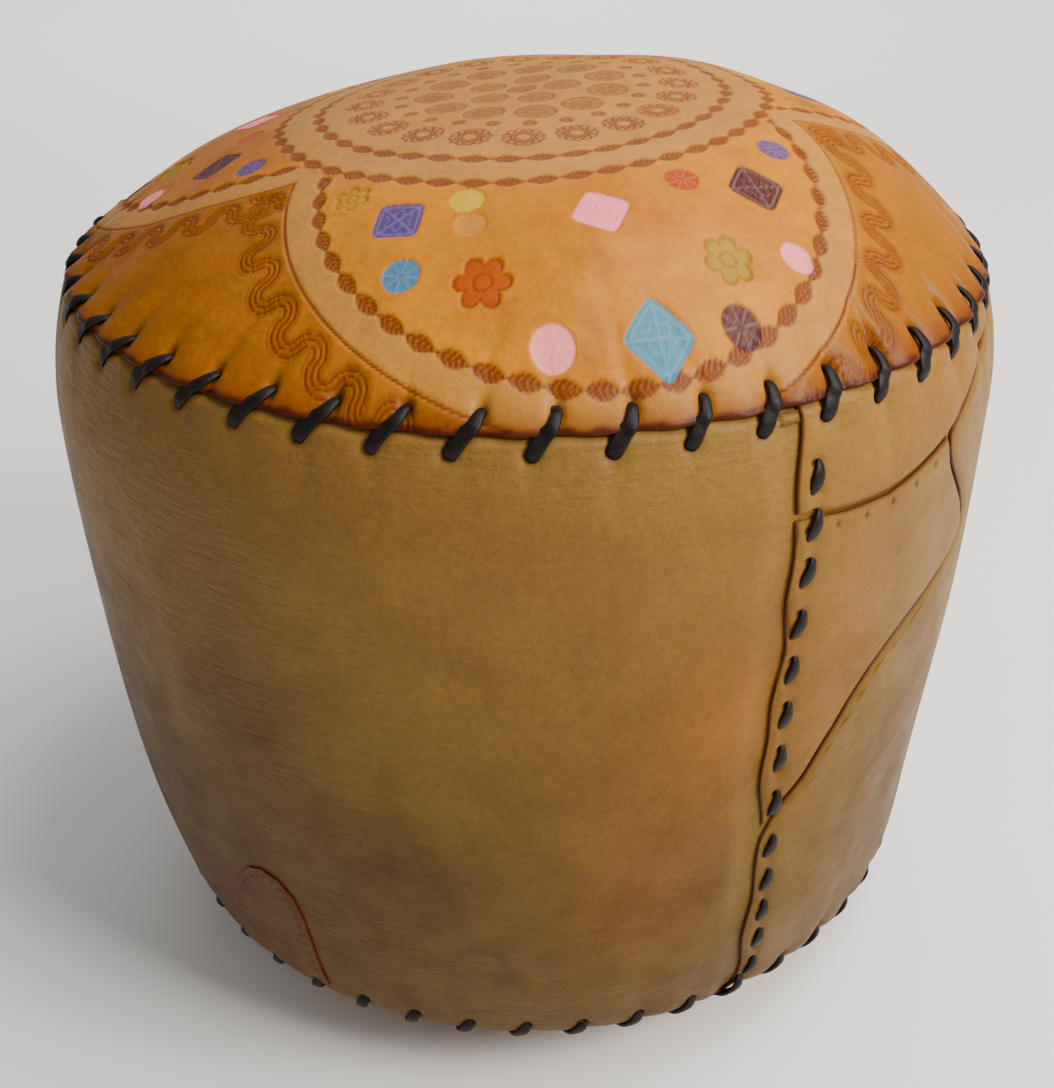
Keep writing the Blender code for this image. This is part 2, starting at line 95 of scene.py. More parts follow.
def wall_radius(height):
    """Radius of the wall at a height."""
    upper = (height - belly_height) / (rim_height - belly_height)
    lower = (height - base_seam_height) / (belly_height - base_seam_height)
    tuck = np.sqrt(np.clip(1.0 - (1.0 - np.clip(lower, 0.0, 1.0)) ** 1.5, 0.0, 1.0))
    over = rim_radius + (belly_radius - rim_radius) * (1.0 - np.clip(upper, 0, 1) ** 2)
    under = base_seam_radius + (belly_radius - base_seam_radius) * tuck
    return np.where(height > belly_height, over, under)


wall_rows = 300
wall_rise = np.linspace(base_seam_height, rim_height - 4.6, wall_rows)
turn_in = np.linspace(rim_radius - 1.2, rim_radius - 7.5, 12)
wall_profile_r = np.concatenate([wall_radius(wall_rise), turn_in])
wall_profile_z = np.concatenate([wall_rise, crown_curve(turn_in)[1] - crown_thickness - 1.2])
wall_run = np.hypot(np.diff(wall_profile_r), np.diff(wall_profile_z))
wall_length = np.concatenate([[0.0], np.cumsum(wall_run)])
wall_total = float(wall_length[-1])
wall_top = wall_total - 7.0  # the rest is turned in under the crown


def wall_curve(station):
    """Radius and height, station millimetres of leather up from the base seam."""
    return (np.interp(station, wall_length, wall_profile_r),
            np.interp(station, wall_length, wall_profile_z))


def wall_station(height):
    """How far up the leather a height lies."""
    return np.interp(height, wall_profile_z[:wall_rows], wall_length[:wall_rows])


def base_curve(station):
    """Radius and height, station 0 in the middle, 1 at the floor's edge, 2 at the seam."""
    rise = np.clip(station - 1.0, 0.0, 1.0)
    edge = base_seam_radius - 0.4
    radius = np.where(station < 1.0, station * floor_radius,
            floor_radius + (edge - floor_radius) * rise)
    return radius, (base_seam_height - 1.2) * rise ** 1.6


# %% Wrap a point on a curve, then let the drum settle
def on_curve(curve, angle, station, lift, step=0.5):
    """Places at angles (degrees) and stations, lifted off the curve, in millimetres."""
    radius, height = curve(station)
    ahead_r, ahead_z = curve(station + step)
    back_r, back_z = curve(station - step)
    run = np.hypot(ahead_r - back_r, ahead_z - back_z)
    out_r = (ahead_z - back_z) / run
    out_z = -(ahead_r - back_r) / run
    side = -1.0 if curve is crown_curve else 1.0
    radius = radius + side * out_r * lift
    height = height + side * out_z * lift
    turn = np.radians(angle)
    return np.stack([radius * np.sin(turn), -radius * np.cos(turn), height], axis=-1)


def settled(points):
    """Lean and shift the even drum, millimetres in and metres out."""
    x, y, z = points[..., 0] / 1000, points[..., 1] / 1000, points[..., 2] / 1000
    radius = np.minimum(np.hypot(x, y) * 1000 / rim_radius, 1.0)
    height = np.clip(z * 1000 / rim_height, 0.0, 1.0)
    drop = 0.070 * x * (1 - radius ** 4) * height ** 4 - 0.026 * x * height
    shift = 0.0024 * height - 0.0046 * np.sin(np.pi * height)
    return np.stack([x + shift, y, z + drop], axis=-1)


# %% Sheets, objects and layers
def flat_sheet(across, along):
    """A sheet from 0 to 1 both ways, as a bmesh grid."""
    sheet = bmesh.new()
    bmesh.ops.create_grid(sheet, x_segments=across, y_segments=along, size=0.5)
    bmesh.ops.translate(sheet, verts=sheet.verts, vec=(0.5, 0.5, 0.0))
    return sheet


def cut_sheet(name, across, along, material):
    """A flat hide, with the place of each vertex across and along it."""
    piece = object_from(flat_sheet(across, along), name, material)
    return piece, *points_of(piece)[:, :2].T


def object_from(shape, name, material):
    """Make a smooth-shaded object of a bmesh."""
    mesh = bpy.data.meshes.new(name)
    shape.to_mesh(mesh)
    shape.free()
    made = bpy.data.objects.new(name, mesh)
    bpy.context.scene.collection.objects.link(made)
    mesh.materials.append(material)
    mesh.polygons.foreach_set("use_smooth", [True] * len(mesh.polygons))
    return made


def points_of(piece):
    """The piece's vertices as an array."""
    flat = np.empty(len(piece.data.vertices) * 3)
    piece.data.vertices.foreach_get("co", flat)
    return flat.reshape(-1, 3)


def move_points(piece, points):
    """Give the piece's vertices new places."""
    piece.data.vertices.foreach_set("co", points.astype(np.float32).ravel())
    piece.data.update()


def paint_layer(piece, name, values):
    """Store a number or a colour for each vertex, for the materials to read."""
    colour = values.ndim == 2
    kind = "FLOAT_COLOR" if colour else "FLOAT"
    layer = piece.data.attributes.new(name, kind, "POINT")
    layer.data.foreach_set("color" if colour else "value", values.astype(np.float32).ravel())


def thicken(piece, thickness):
    """Give a wrapped hide its thickness, inwards."""
    wall = piece.modifiers.new("hide", "SOLIDIFY")
    wall.thickness = thickness / 1000
    wall.offset = -1.0
    wall.use_even_offset = False


def report(piece, node):
    """Say how a piece lies against the solid that it stands for."""
    points = points_of(piece)
    off = np.array([points.min(axis=0), points.max(axis=0)]) - np.array(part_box(node))
    print(piece.name, len(piece.data.polygons), "faces; off the solid's box by mm",
          (1000 * off).round(1).tolist())

# %% [markdown]
# ## Leather
# Vegetable-tanned goat hide, dyed by hand and waxed. Three things make it read as leather:
# uneven dye in soft clouds tens of millimetres wide, a pebbled grain about a millimetre
# across, and a waxed surface that shines a little more on the high places. The layers
# painted on each piece say where it is stained, burnt by a tool or dyed at a cut edge, and
# they also carry painted light and shade: shade in the lacing slits, a lighter top on the
# wall, shade at its foot along with stain, and a darker left side on the crown.

# %% Colours and nodes
def linear(code):
    """A colour written as sRGB hex, as linear light."""
    values = [int(code[i:i + 2], 16) / 255 for i in (1, 3, 5)]
    return [v / 12.92 if v <= 0.04045 else ((v + 0.055) / 1.055) ** 2.4 for v in values] + [1.0]


def add(tree, kind, inputs=None, **settings):
    """Add a node: settings are its own, inputs are numbers or other nodes' sockets.

    A colour mix has its share at input 0 and its two colours at inputs 6 and 7.
    """
    node = tree.nodes.new(kind)
    for key, value in settings.items():
        setattr(node, key, value)
    for key, value in (inputs or {}).items():
        if isinstance(value, bpy.types.NodeSocket):
            tree.links.new(value, node.inputs[key])
        else:
            node.inputs[key].default_value = value
    return node


def blank(name):
    """A new material with an empty tree."""
    material = bpy.data.materials.new(name)
    material.use_nodes = True
    material.node_tree.nodes.clear()
    return material


# %% The leather of every hide
# Name, scale, detail, roughness and distortion of a noise, then the range it is spread over
hide_noises = (("cloud", 11.0, 5.0, 0.55, 0.7, 0.36, 0.64, 0.0, 1.0),
        ("mottle", 46.0, 6.0, 0.62, 0.3, 0.42, 0.72, 0.0, 0.30),
        ("speck", 330.0, 4.0, 0.6, 0.0, 0.35, 0.65, 0.90, 1.06))


def leather(name, light, dark, stain_and_shade, gloss, grain=1.0, crease=0.0, painted=False,
        coat=0.0, shine_level=0.14):
    """Waxed hide: clouds of dye; stains, painted light and shade, tool burn and cut edges from
    layers; pebbled grain.
    """
    material = blank(name)
    tree = material.node_tree
    place = add(tree, "ShaderNodeTexCoord").outputs["Object"]
    noise, tone = {}, {}
    for part, scale, detail, rough, bend, low, high, least, most in hide_noises:
        noise[part] = add(tree, "ShaderNodeTexNoise", {"Vector": place, "Scale": scale,
                "Detail": detail, "Roughness": rough,
                "Distortion": bend}).outputs[0]
        tone[part] = add(tree, "ShaderNodeMapRange", {"Value": noise[part], "From Min": low,
                "From Max": high, "To Min": least,
                "To Max": most}).outputs[0]
    colour = add(tree, "ShaderNodeMix", {0: tone["cloud"], 6: linear(light),
            7: linear(dark)}, data_type="RGBA").outputs[2]
    # Each layer mixes towards its colour: a warm tint, stain with painted shade, pale with a
    # painted glow on the wall tops, tool burn, and edge for dyed cut edges and painted slit shade.
    for layer, dye in (("warm", "#8C5206"), ("stain_and_shade", stain_and_shade), ("pale", "#A0743A"),
            ("tool", "#642406"), ("edge", "#401208")):
        share = add(tree, "ShaderNodeAttribute", attribute_name=layer).outputs["Fac"]
        if layer == "stain_and_shade":
            share = add(tree, "ShaderNodeMath", {0: share, 1: tone["mottle"]},
                    operation="ADD", use_clamp=True).outputs[0]
        colour = add(tree, "ShaderNodeMix", {0: share, 6: colour, 7: linear(dye)},
                data_type="RGBA").outputs[2]
        if layer == "pale":
            colour = add(tree, "ShaderNodeMix", {0: 1.0, 6: colour, 7: tone["speck"]},
                    data_type="RGBA", blend_type="MULTIPLY").outputs[2]
        if layer == "tool" and painted:
            paint = add(tree, "ShaderNodeAttribute", attribute_name="paint")
            colour = add(tree, "ShaderNodeMix", {0: paint.outputs["Alpha"], 6: colour,
                    7: paint.outputs["Color"]},
                    data_type="RGBA").outputs[2]
    pebbles = add(tree, "ShaderNodeTexVoronoi", {"Vector": place, "Scale": 780.0},
            feature="SMOOTH_F1")
    stretched = add(tree, "ShaderNodeMapping", {"Vector": place, "Scale": (60.0, 60.0, 420.0)})
    creases = add(tree, "ShaderNodeTexNoise", {"Vector": stretched.outputs[0], "Scale": 1.0,
            "Detail": 5.0, "Distortion": 0.8})
    normal = None
    for height, strength, distance in ((pebbles.outputs["Distance"], 0.22 * grain, 0.0006),
            (creases.outputs[0], 0.12 + crease, 0.0020),
            (noise["mottle"], 0.25, 0.0030)):
        relief = {"Height": height, "Strength": strength, "Distance": distance}
        if normal:
            relief["Normal"] = normal
        normal = add(tree, "ShaderNodeBump", relief).outputs[0]
    shine = add(tree, "ShaderNodeMapRange", {"Value": noise["mottle"], "From Min": 0.3,
            "From Max": 0.7, "To Min": gloss - 0.07,
            "To Max": gloss + 0.10})
    skin = add(tree, "ShaderNodeBsdfPrincipled", {"Base Color": colour,
            "Roughness": shine.outputs[0],
            "Normal": normal,
            "IOR": 1.5, "Specular IOR Level": shine_level,
            "Coat Weight": coat,
            "Coat Roughness": 0.20})
    add(tree, "ShaderNodeOutputMaterial", {0: skin.outputs[0]})
    return material


crown_leather = leather("tooled_goat_leather", "#C87E0B", "#B06608", "#64340A", 0.42, 0.8,
        painted=True, coat=0.05, shine_level=0.08)
front_leather = leather("waxed_goat_leather_front", "#6F5319", "#5E4215", "#462C0F", 0.50,
        1.2, 0.26)
rear_leather = leather("waxed_goat_leather_rear", "#715518", "#634716", "#4A3010", 0.50, 1.0, 0.12)
base_leather = leather("plain_cow_leather", "#7A5622", "#66461C", "#432C12", 0.60, 1.2)
print("hide leathers made")


# %% [markdown]
# The thong is a strip of the same hide, dyed almost black and polished by rubbing. It is
# glossier than the hides, with a brown bloom where the dye has worn off the high places.
# The calico is plain-woven unbleached cotton, and the stuffing is matted wool.

# %% The thong
def thong_material():
    """Dark dyed strip: brown bloom, fine grain along it, a waxed shine."""
    material = blank("dyed_leather_thong")
    tree = material.node_tree
    place = add(tree, "ShaderNodeTexCoord").outputs["Object"]
    worn = add(tree, "ShaderNodeTexNoise", {"Vector": place, "Scale": 210.0, "Detail": 5.0})
    bloom = add(tree, "ShaderNodeMapRange", {"Value": worn.outputs[0], "From Min": 0.48,
            "From Max": 0.72})
    colour = add(tree, "ShaderNodeMix", {0: bloom.outputs[0], 6: linear("#0E0706"),
            7: linear("#20120D")}, data_type="RGBA")
    grain = add(tree, "ShaderNodeTexNoise", {"Vector": place, "Scale": 900.0, "Detail": 3.0})
    bump = add(tree, "ShaderNodeBump", {"Height": grain.outputs[0], "Strength": 0.35,
            "Distance": 0.0005})
    shine = add(tree, "ShaderNodeMapRange", {"Value": worn.outputs[0], "To Min": 0.42,
            "To Max": 0.66})
    skin = add(tree, "ShaderNodeBsdfPrincipled", {"Base Color": colour.outputs[2],
            "Roughness": shine.outputs[0],
            "Normal": bump.outputs[0], "IOR": 1.5,
            "Specular IOR Level": 0.18,
            "Coat Weight": 0.03,
            "Coat Roughness": 0.25})
    add(tree, "ShaderNodeOutputMaterial", {0: skin.outputs[0]})
    return material


thong_leather = thong_material()


# %% The calico and the wool
def cloth_material(name, light, dark, threads, rough):
    """Plain cloth: two crossed sets of threads, threads to the metre, and soft clouds."""
    material = blank(name)
    tree = material.node_tree
    place = add(tree, "ShaderNodeTexCoord").outputs["Object"]
    warp = add(tree, "ShaderNodeTexWave", {"Vector": place, "Scale": threads / 3.14,
            "Distortion": 1.2, "Detail": 2.0},
            bands_direction="Z")
    weft = add(tree, "ShaderNodeTexWave", {"Vector": place, "Scale": threads / 3.14,
            "Distortion": 1.2, "Detail": 2.0},
            bands_direction="DIAGONAL")
    weave = add(tree, "ShaderNodeMath", {0: warp.outputs["Fac"], 1: weft.outputs["Fac"]},
            operation="MULTIPLY")
    cloud = add(tree, "ShaderNodeTexNoise", {"Vector": place, "Scale": 30.0, "Detail": 6.0})
    both = add(tree, "ShaderNodeMath", {0: weave.outputs[0], 1: cloud.outputs[0]},
            operation="MULTIPLY")
    colour = add(tree, "ShaderNodeMix", {0: both.outputs[0], 6: linear(dark),
            7: linear(light)}, data_type="RGBA")
    bump = add(tree, "ShaderNodeBump", {"Height": weave.outputs[0], "Strength": 0.5,
            "Distance": 0.0006})
    skin = add(tree, "ShaderNodeBsdfPrincipled", {"Base Color": colour.outputs[2],
            "Roughness": rough,
            "Normal": bump.outputs[0]})
    add(tree, "ShaderNodeOutputMaterial", {0: skin.outputs[0]})
    return material


# Calico has about 24 threads to the centimetre; drawn at 8, the coarsest that looks woven.
calico = cloth_material("unbleached_calico", "#E2D4B4", "#B7A582", 800.0, 0.90)
# Carded wool has no weave, so its bands are wide and broken, like matted locks.
wool = cloth_material("carded_wool_stuffing", "#D8CBAA", "#A3926D", 120.0, 0.95)
print("thong, calico and wool made")

# %% [markdown]
# ## Tooling the crown
# The crown hide is stamped and painted before it is laced. Its plan is drawn with rings:
# a medallion of rosettes inside two rings of leaves, three large leaf circles that pass
# behind the medallion, a scribed line and a serpentine border round each of them. The
# same plan gives the depth of each stamp, the burn it leaves, and the paint.

# %% Small drawing functions, in millimetres on the flat hide
def band(distance, width, soft=0.45):
    """1 within width of a line, easing to 0 over soft."""
    return smooth(width / 2 + soft, width / 2 - soft * 0.4, np.abs(distance))


def leaf_chain(across, along, pitch):
    """A row of almond leaves: their fill, and their veins."""
    part = (along / pitch) % 1 - 0.5
    half = np.maximum(2.9 * np.cos(np.pi * part) ** 0.85, 0.5)
    fill = smooth(half + 0.4, half - 0.5, np.abs(across))
    rib = np.cos(2 * np.pi * (np.abs(across) * 0.9 - along) / 2.4)
    return fill, fill * smooth(0.1, 0.9, rib)


def ring_of(x, y, radius, count, turn=0.0):
    """Local place on the nearest of count stamps set round a ring."""
    angle = np.degrees(np.arctan2(x, -y))
    step = 360.0 / count
    nearest = np.round((angle - turn) / step) * step + turn
    offset = np.radians(angle - nearest)
    far = np.hypot(x, y)
    return far * np.sin(offset), far * np.cos(offset) - radius


# %% The stamps
bead_ring = 6.9
bead_count = 12


def bead_rosette(u, v):
    """Two fine rings within a ring of twelve beads."""
    far = np.hypot(u, v)
    turn = np.arctan2(v, u) / (2 * np.pi) * bead_count
    bead = (turn % 1 - 0.5) * 2 * np.pi * bead_ring / bead_count
    beads = band(np.hypot(bead, far - bead_ring) - 1.5, 0.55)
    return np.maximum(beads, np.maximum(band(far - 3.3, 0.6), band(far - 4.6, 0.6)))


def petal_rosette(u, v, size, petals=8, rings=True):
    """A filled round stamp with petals standing in it: fill and lines."""
    far = np.hypot(u, v)
    turn = np.arctan2(v, u) * petals / 2
    fill = smooth(size + 0.4, size - 0.5, far)
    spokes = band(np.sin(turn) * far / (petals / 2) * 1.4, 0.5) * (far > 1.2)
    rims = np.maximum(band(far - size * 0.45, 0.5), band(far - size + 0.7, 0.5))
    return fill, fill * (np.maximum(spokes, rims) if rings else spokes)


def diamond(u, v, size, turn):
    """A soft-cornered diamond with crossed and outlined relief: fill and lines."""
    turn = math.radians(turn)
    a = u * math.cos(turn) + v * math.sin(turn)
    v = v * math.cos(turn) - u * math.sin(turn)
    near = (np.abs(a) ** 6 + np.abs(v) ** 6) ** (1 / 6)
    fill = smooth(size + 0.4, size - 0.4, near)
    cross = np.minimum(np.abs(a - v), np.abs(a + v)) * 0.7
    rosette = band((np.hypot(a, v) + 0.9 * np.cos(6 * np.arctan2(v, a))) - size * 0.5, 0.5)
    lines = np.maximum(band(cross, 0.5), band(near - size * 0.82, 0.45))
    return fill, fill * np.maximum(lines, rosette * 0.7)


def flower(u, v, size):
    """A six-petalled flower: fill and outline."""
    far = np.hypot(u, v)
    turn = np.arctan2(v, u)
    reach = size * (0.66 + 0.34 * np.abs(np.cos(3 * turn)) ** 0.8)
    fill = smooth(0.4, -0.5, far - reach)
    return fill, fill * np.maximum(smooth(-2.2, -0.6, far - reach), band(far - size * 0.3, 0.6))


def serpentine(across, along):
    """Nested half rings, turned up and down in turn, that run on as one wavy border."""
    wave = 20.0 + 0.7 * np.sin(along / 37.0)
    turn = np.where(across > 0, 0.0, 0.5)
    middle = (np.round(along / wave - turn) + turn) * wave
    ring = np.hypot(along - middle, across * 1.05) - wave / 4
    within = smooth(4.3, 3.5, np.abs(ring))
    grooves = smooth(0.15, 0.9, np.cos(2 * np.pi * ring / 2.1))
    return within, grooves


# %% The painted stamps of one lobe
# Kind, angle from the lobe's axis, distance from the middle, half size, colour, strength, turn
motifs = [
    ("flower", -43.4, 118.6, 7.5, "#8A7600", 0.45, 0.0),
    ("diamond", -31.5, 127.5, 8.6, "#33306E", 0.98, -10.0),
    ("wheel", -20.6, 115.4, 6.6, "#B89C00", 0.85, 0.0),
    ("wheel", -19.1, 128.3, 6.0, "#BD8340", 0.30, 0.0),
    ("wheel", -27.2, 152.3, 7.0, "#006A8C", 0.94, 0.0),
    ("flower", -16.1, 154.3, 11.0, "#9A2800", 0.80, 0.0),
    ("diamond", 2.0, 128.3, 8.6, "#F47E92", 0.92, 36.0),
    ("wheel", 18.7, 119.8, 6.5, "#9A2E00", 0.90, 0.0),
    ("diamond", 30.5, 132.7, 9.2, "#33081C", 0.98, -28.0),
    ("wheel", 43.2, 121.0, 6.5, "#33306E", 0.90, 0.0),
    ("flower", 16.9, 156.7, 9.8, "#8A7600", 0.75, 0.0),
    ("wheel", 26.8, 162.7, 6.2, "#F0868F", 0.85, 0.0),
    ("wheel", -7.7, 177.6, 7.7, "#F0868A", 0.88, 0.0),
    ("diamond", 4.2, 177.6, 9.8, "#007A90", 0.94, 48.0),
    ("wheel", 14.1, 178.4, 7.2, "#380A1C", 0.97, 0.0),
]
lobe_axes = (10.0, 130.0, -110.0)
lobe_offset = 95.5
lobe_radius = 95.0
lobe_leaves = 46
border_inset = 10.5
leaf_pitch = 13.0
inner_ring = 87.7
outer_ring = 105.0
scribed = 13.0


# %% The plan of the crown
def from_lobe(x, y, axis):
    """Distance past a lobe's circle of leaves, and the angle round its middle."""
    turn = math.radians(axis)
    here_x = x - lobe_offset * math.sin(turn)
    here_y = y + lobe_offset * math.cos(turn)
    return np.hypot(here_x, here_y) - lobe_radius, np.arctan2(here_x, -here_y)


def tooling(x, y):
    """Depth in millimetres, burn, dye and paint at places on the flat crown."""
    far = np.hypot(x, y)
    angle = np.degrees(np.arctan2(x, -y))
    depth = np.zeros_like(x)
    burn = np.zeros_like(x)
    paint = np.zeros((len(x), 4))
    for radius in (inner_ring, outer_ring):
        count = round(2 * np.pi * radius / leaf_pitch)
        fill, veins = leaf_chain(far - radius, np.radians(angle) * radius,
                2 * np.pi * radius / count)
        depth -= 0.55 * fill - 0.25 * veins
        burn = np.maximum(burn, fill * (0.88 - 0.32 * veins))
    outside = smooth(outer_ring + 3.0, outer_ring + 5.0, far)
    nearest = np.full_like(x, 1e3)
    for axis in lobe_axes:
        gap, turned = from_lobe(x, y, axis)
        fill, veins = leaf_chain(gap, turned * lobe_radius, 2 * np.pi * lobe_radius / lobe_leaves)
        depth -= outside * (0.60 * fill - 0.28 * veins)
        burn = np.maximum(burn, outside * fill * (0.92 - 0.34 * veins))
        nearest = np.minimum(nearest, gap)
    for axis in lobe_axes:
        gap, turned = from_lobe(x, y, axis)
        clear = outside * smooth(scribed + 0.5, scribed + 2.0, nearest)
        within, grooves = serpentine(gap - scribed - border_inset,
                turned * (lobe_radius + scribed + 11.0))
        within = within * clear
        depth -= within * (0.15 + 0.55 * grooves)
        burn = np.maximum(burn, within * (0.30 + 0.62 * grooves))
        line = band(gap - scribed, 0.85) * outside * smooth(scribed - 1.5, scribed, nearest)
        depth -= 0.45 * line
        burn = np.maximum(burn, 0.95 * line)
    u, v = ring_of(x, y, 68.0, 20)
    beads = bead_rosette(u, v)
    depth -= 0.40 * beads
    burn = np.maximum(burn, 0.95 * beads)
    for radius, count, size, turn, ink in ((38.0, 11, 9.0, 8.0, 0.34), (52.5, 22, 3.2, 3.0, 0.40),
            (17.5, 5, 8.2, 20.0, 0.30), (0.0, 1, 6.5, 0.0, 0.34)):
        u, v = ring_of(x, y, radius, count, turn)
        fill, lines = petal_rosette(u, v, size)
        depth -= 0.30 * fill + 0.22 * lines
        burn = np.maximum(burn, ink * fill + 0.40 * lines)
    for axis in lobe_axes:
        for kind, around, out, size, colour, strength, twist in motifs:
            turn = math.radians(axis + around)
            flat_x = x - out * math.sin(turn)
            flat_y = y + out * math.cos(turn)
            near = np.hypot(flat_x, flat_y) < size * 1.7
            u = (flat_x * math.cos(turn) + flat_y * math.sin(turn))[near]
            v = (flat_x * math.sin(turn) - flat_y * math.cos(turn))[near]
            if kind == "wheel":
                fill, lines = petal_rosette(u, v, size, rings=False)
            if kind == "diamond":
                fill, lines = diamond(u, v, size, twist)
            if kind == "flower":
                fill, lines = flower(u, v, size)
            worn = 0.93 + 0.07 * np.sin(1.9 * u + 0.8 * v + around) * np.cos(1.3 * v - out)
            ink = np.array(linear(colour)[:3])
            if kind == "flower":
                shade = ink[None, :] * (1.0 - 0.60 * lines[:, None])
            else:
                shade = ink[None, :] + (0.70 - ink[None, :]) * 0.10 * lines[:, None]
            paint[near, :3] = np.where(fill[:, None] > 0.02, shade, paint[near, :3])
            paint[near, 3] = np.maximum(paint[near, 3], fill * strength * worn)
            sunk = np.zeros_like(x)
            sunk[near] = 0.45 * fill + (0.25 if kind == "flower" else -0.20) * lines
            depth -= sunk
    pale = smooth(-2.5, 0.5, nearest) * smooth(scribed + 1.0, scribed - 0.5, nearest)
    medallion = smooth(outer_ring + 1.0, outer_ring - 1.0, far)
    pale = np.maximum(pale * outside, 0.95 * medallion)
    spandrel = outside * smooth(scribed, scribed + 2.0, nearest)
    return depth, burn, 0.62 * pale, spandrel, paint


# %% [markdown]
# ## The crown
# The crown starts as a square grid, which a plane-filling map turns into a disc with even
# rings, so that every stamp gets the same number of faces. The edge is then folded down
# and closed by a coarse underside. Real stamps, puckers and dimples are moved vertices,
# not bump, so they catch the light and cast small shadows.

# %% Cut the crown hide
def round_sheet(rings):
    """A disc of the unit radius made from a square grid, as a bmesh."""
    disc = bmesh.new()
    bmesh.ops.create_grid(disc, x_segments=2 * rings, y_segments=2 * rings, size=1.0)
    for vertex in disc.verts:
        x, y = vertex.co.x, vertex.co.y
        ring = max(abs(x), abs(y))
        if ring > 0 and abs(x) >= abs(y):
            turn = math.pi / 4 * y / x
            vertex.co = Vector((math.cos(turn), math.sin(turn), 0)) * x
        elif ring > 0:
            turn = math.pi / 4 * x / y
            vertex.co = Vector((math.sin(turn), math.cos(turn), 0)) * y
    return disc


def lip(disc, steps):
    """Fold the disc's edge: each step is a share of the radius and a drop in millimetres."""
    edges = [edge for edge in disc.edges if edge.is_boundary]
    for share, drop in steps:
        grown = bmesh.ops.extrude_edge_only(disc, edges=edges)["geom"]
        for vertex in [item for item in grown if isinstance(item, bmesh.types.BMVert)]:
            flat = Vector((vertex.co.x, vertex.co.y)).normalized() * share
            vertex.co = Vector((flat.x, flat.y, -drop))
        edges = [item for item in grown if isinstance(item, bmesh.types.BMEdge)
                and item.is_boundary]
    return edges


def cut_crown(rings, coarse):
    """The crown hide laid flat: tooled side up, with its thickness, as a bmesh."""
    disc = round_sheet(rings)
    edges = lip(disc, [(1.0015, 0.5), (1.0015, 1.9), (0.9975, 2.5), (0.985, 2.5), (0.96, 2.5)])
    under = round_sheet(coarse)
    bmesh.ops.transform(under, matrix=Matrix.Diagonal((0.93, 0.93, 1, 1)), verts=under.verts)
    bmesh.ops.translate(under, verts=under.verts, vec=(0, 0, -crown_thickness))
    spare = bpy.data.meshes.new("underside")
    under.to_mesh(spare)
    under.free()
    before = len(disc.verts)
    disc.from_mesh(spare)
    disc.verts.ensure_lookup_table()
    new = set(disc.verts[before:])
    rim = [edge for edge in disc.edges if edge.is_boundary and edge.verts[0] in new]
    bmesh.ops.bridge_loops(disc, edges=edges + rim)
    bpy.data.meshes.remove(spare)
    bmesh.ops.recalc_face_normals(disc, faces=disc.faces)
    return disc


rings = 240
crown = object_from(cut_crown(rings, 40), "crown_tooled", crown_leather)
print("crown", len(crown.data.polygons), "faces, closed")


# %% Gathers, puckers and holes along a laced edge
def gather_strength(angle):
    """How hard the hide was gathered round the rim: most at the right rear and the left."""
    right = np.exp(-((angle - 50.0) / 20.0) ** 2)
    left = np.exp(-((angle + 78.0) / 22.0) ** 2)
    return 0.75 + 2.1 * right + 0.45 * left


gather_sizes = random.uniform(0.3, 1.5, stitch_count)
gather_reach = random.uniform(16.0, 42.0, stitch_count)
gather_bend = random.uniform(-0.09, 0.09, stitch_count)


def puckers(angle, inward, first):
    """Lift in millimetres at a distance in from a laced edge, between and at its holes."""
    place = (angle - first) / stitch_step
    stitch = np.round(place).astype(int) % stitch_count
    aside = (place - np.round(place)) * stitch_step * math.radians(1) * rim_radius
    puff = -np.cos(2 * np.pi * place) * np.exp(-(inward / 13.0) ** 2)
    valley_aside = aside - gather_bend[stitch] * inward * 2.0
    fade = np.exp(-(inward / gather_reach[stitch]) ** 2)
    valley = -gather_sizes[stitch] * np.exp(-(valley_aside / (2.6 + 0.05 * inward)) ** 2) * fade
    return gather_strength(angle) * (0.55 * puff + 0.75 * valley)


def rim_slant(angle):
    """How many degrees a rim stitch leans on its way down."""
    return 2.8 - 0.9 * np.sin(np.radians(2 * angle))


def hole(angle, inward, first, depth_in, slant=0.0):
    """1 in the slit that a stitch passes through, easing to 0 round it."""
    place = (angle - first) / stitch_step
    aside = (place - np.round(place)) * stitch_step * math.radians(1) * rim_radius
    return np.exp(-(((aside - slant * (inward - depth_in)) / 2.6) ** 2
            + ((inward - depth_in) / 3.2) ** 2))


# %% Tool, paint and wrap the crown
flat = points_of(crown)
x, y = flat[:, 0] * rim_radius, flat[:, 1] * rim_radius
out = np.hypot(x, y)
angle = np.degrees(np.arctan2(x, -y))
top = flat[:, 2] > -0.1
depth, burn, pale, spandrel, paint = tooling(x, y)
inward = np.clip(rim_radius - out, 0.0, None)
dimple = hole(angle, inward, rim_stitch_angle, 5.5)
pulled = puckers(angle, inward, rim_stitch_angle)
soft = 0.9 * np.sin(x / 31.0 + 0.6) * np.sin(y / 27.0) + 0.6 * np.sin(x / 17.0 - y / 23.0)
lift = pulled - 2.4 * dimple + soft * smooth(0.0, 60.0, inward)
lift = lift + np.where(top, depth, flat[:, 2])
wavy = 0.35 * -np.cos(2 * np.pi * (angle - rim_stitch_angle) / stitch_step)
station = out + (wavy + 0.5) * np.exp(-inward / 5.0)
bowl = on_curve(crown_curve, angle, station, lift)
move_points(crown, settled(bowl))
edge = smooth(1.9, 0.3, inward + 0.5 * np.sin(angle * 1.7) * np.sin(angle * 0.31))
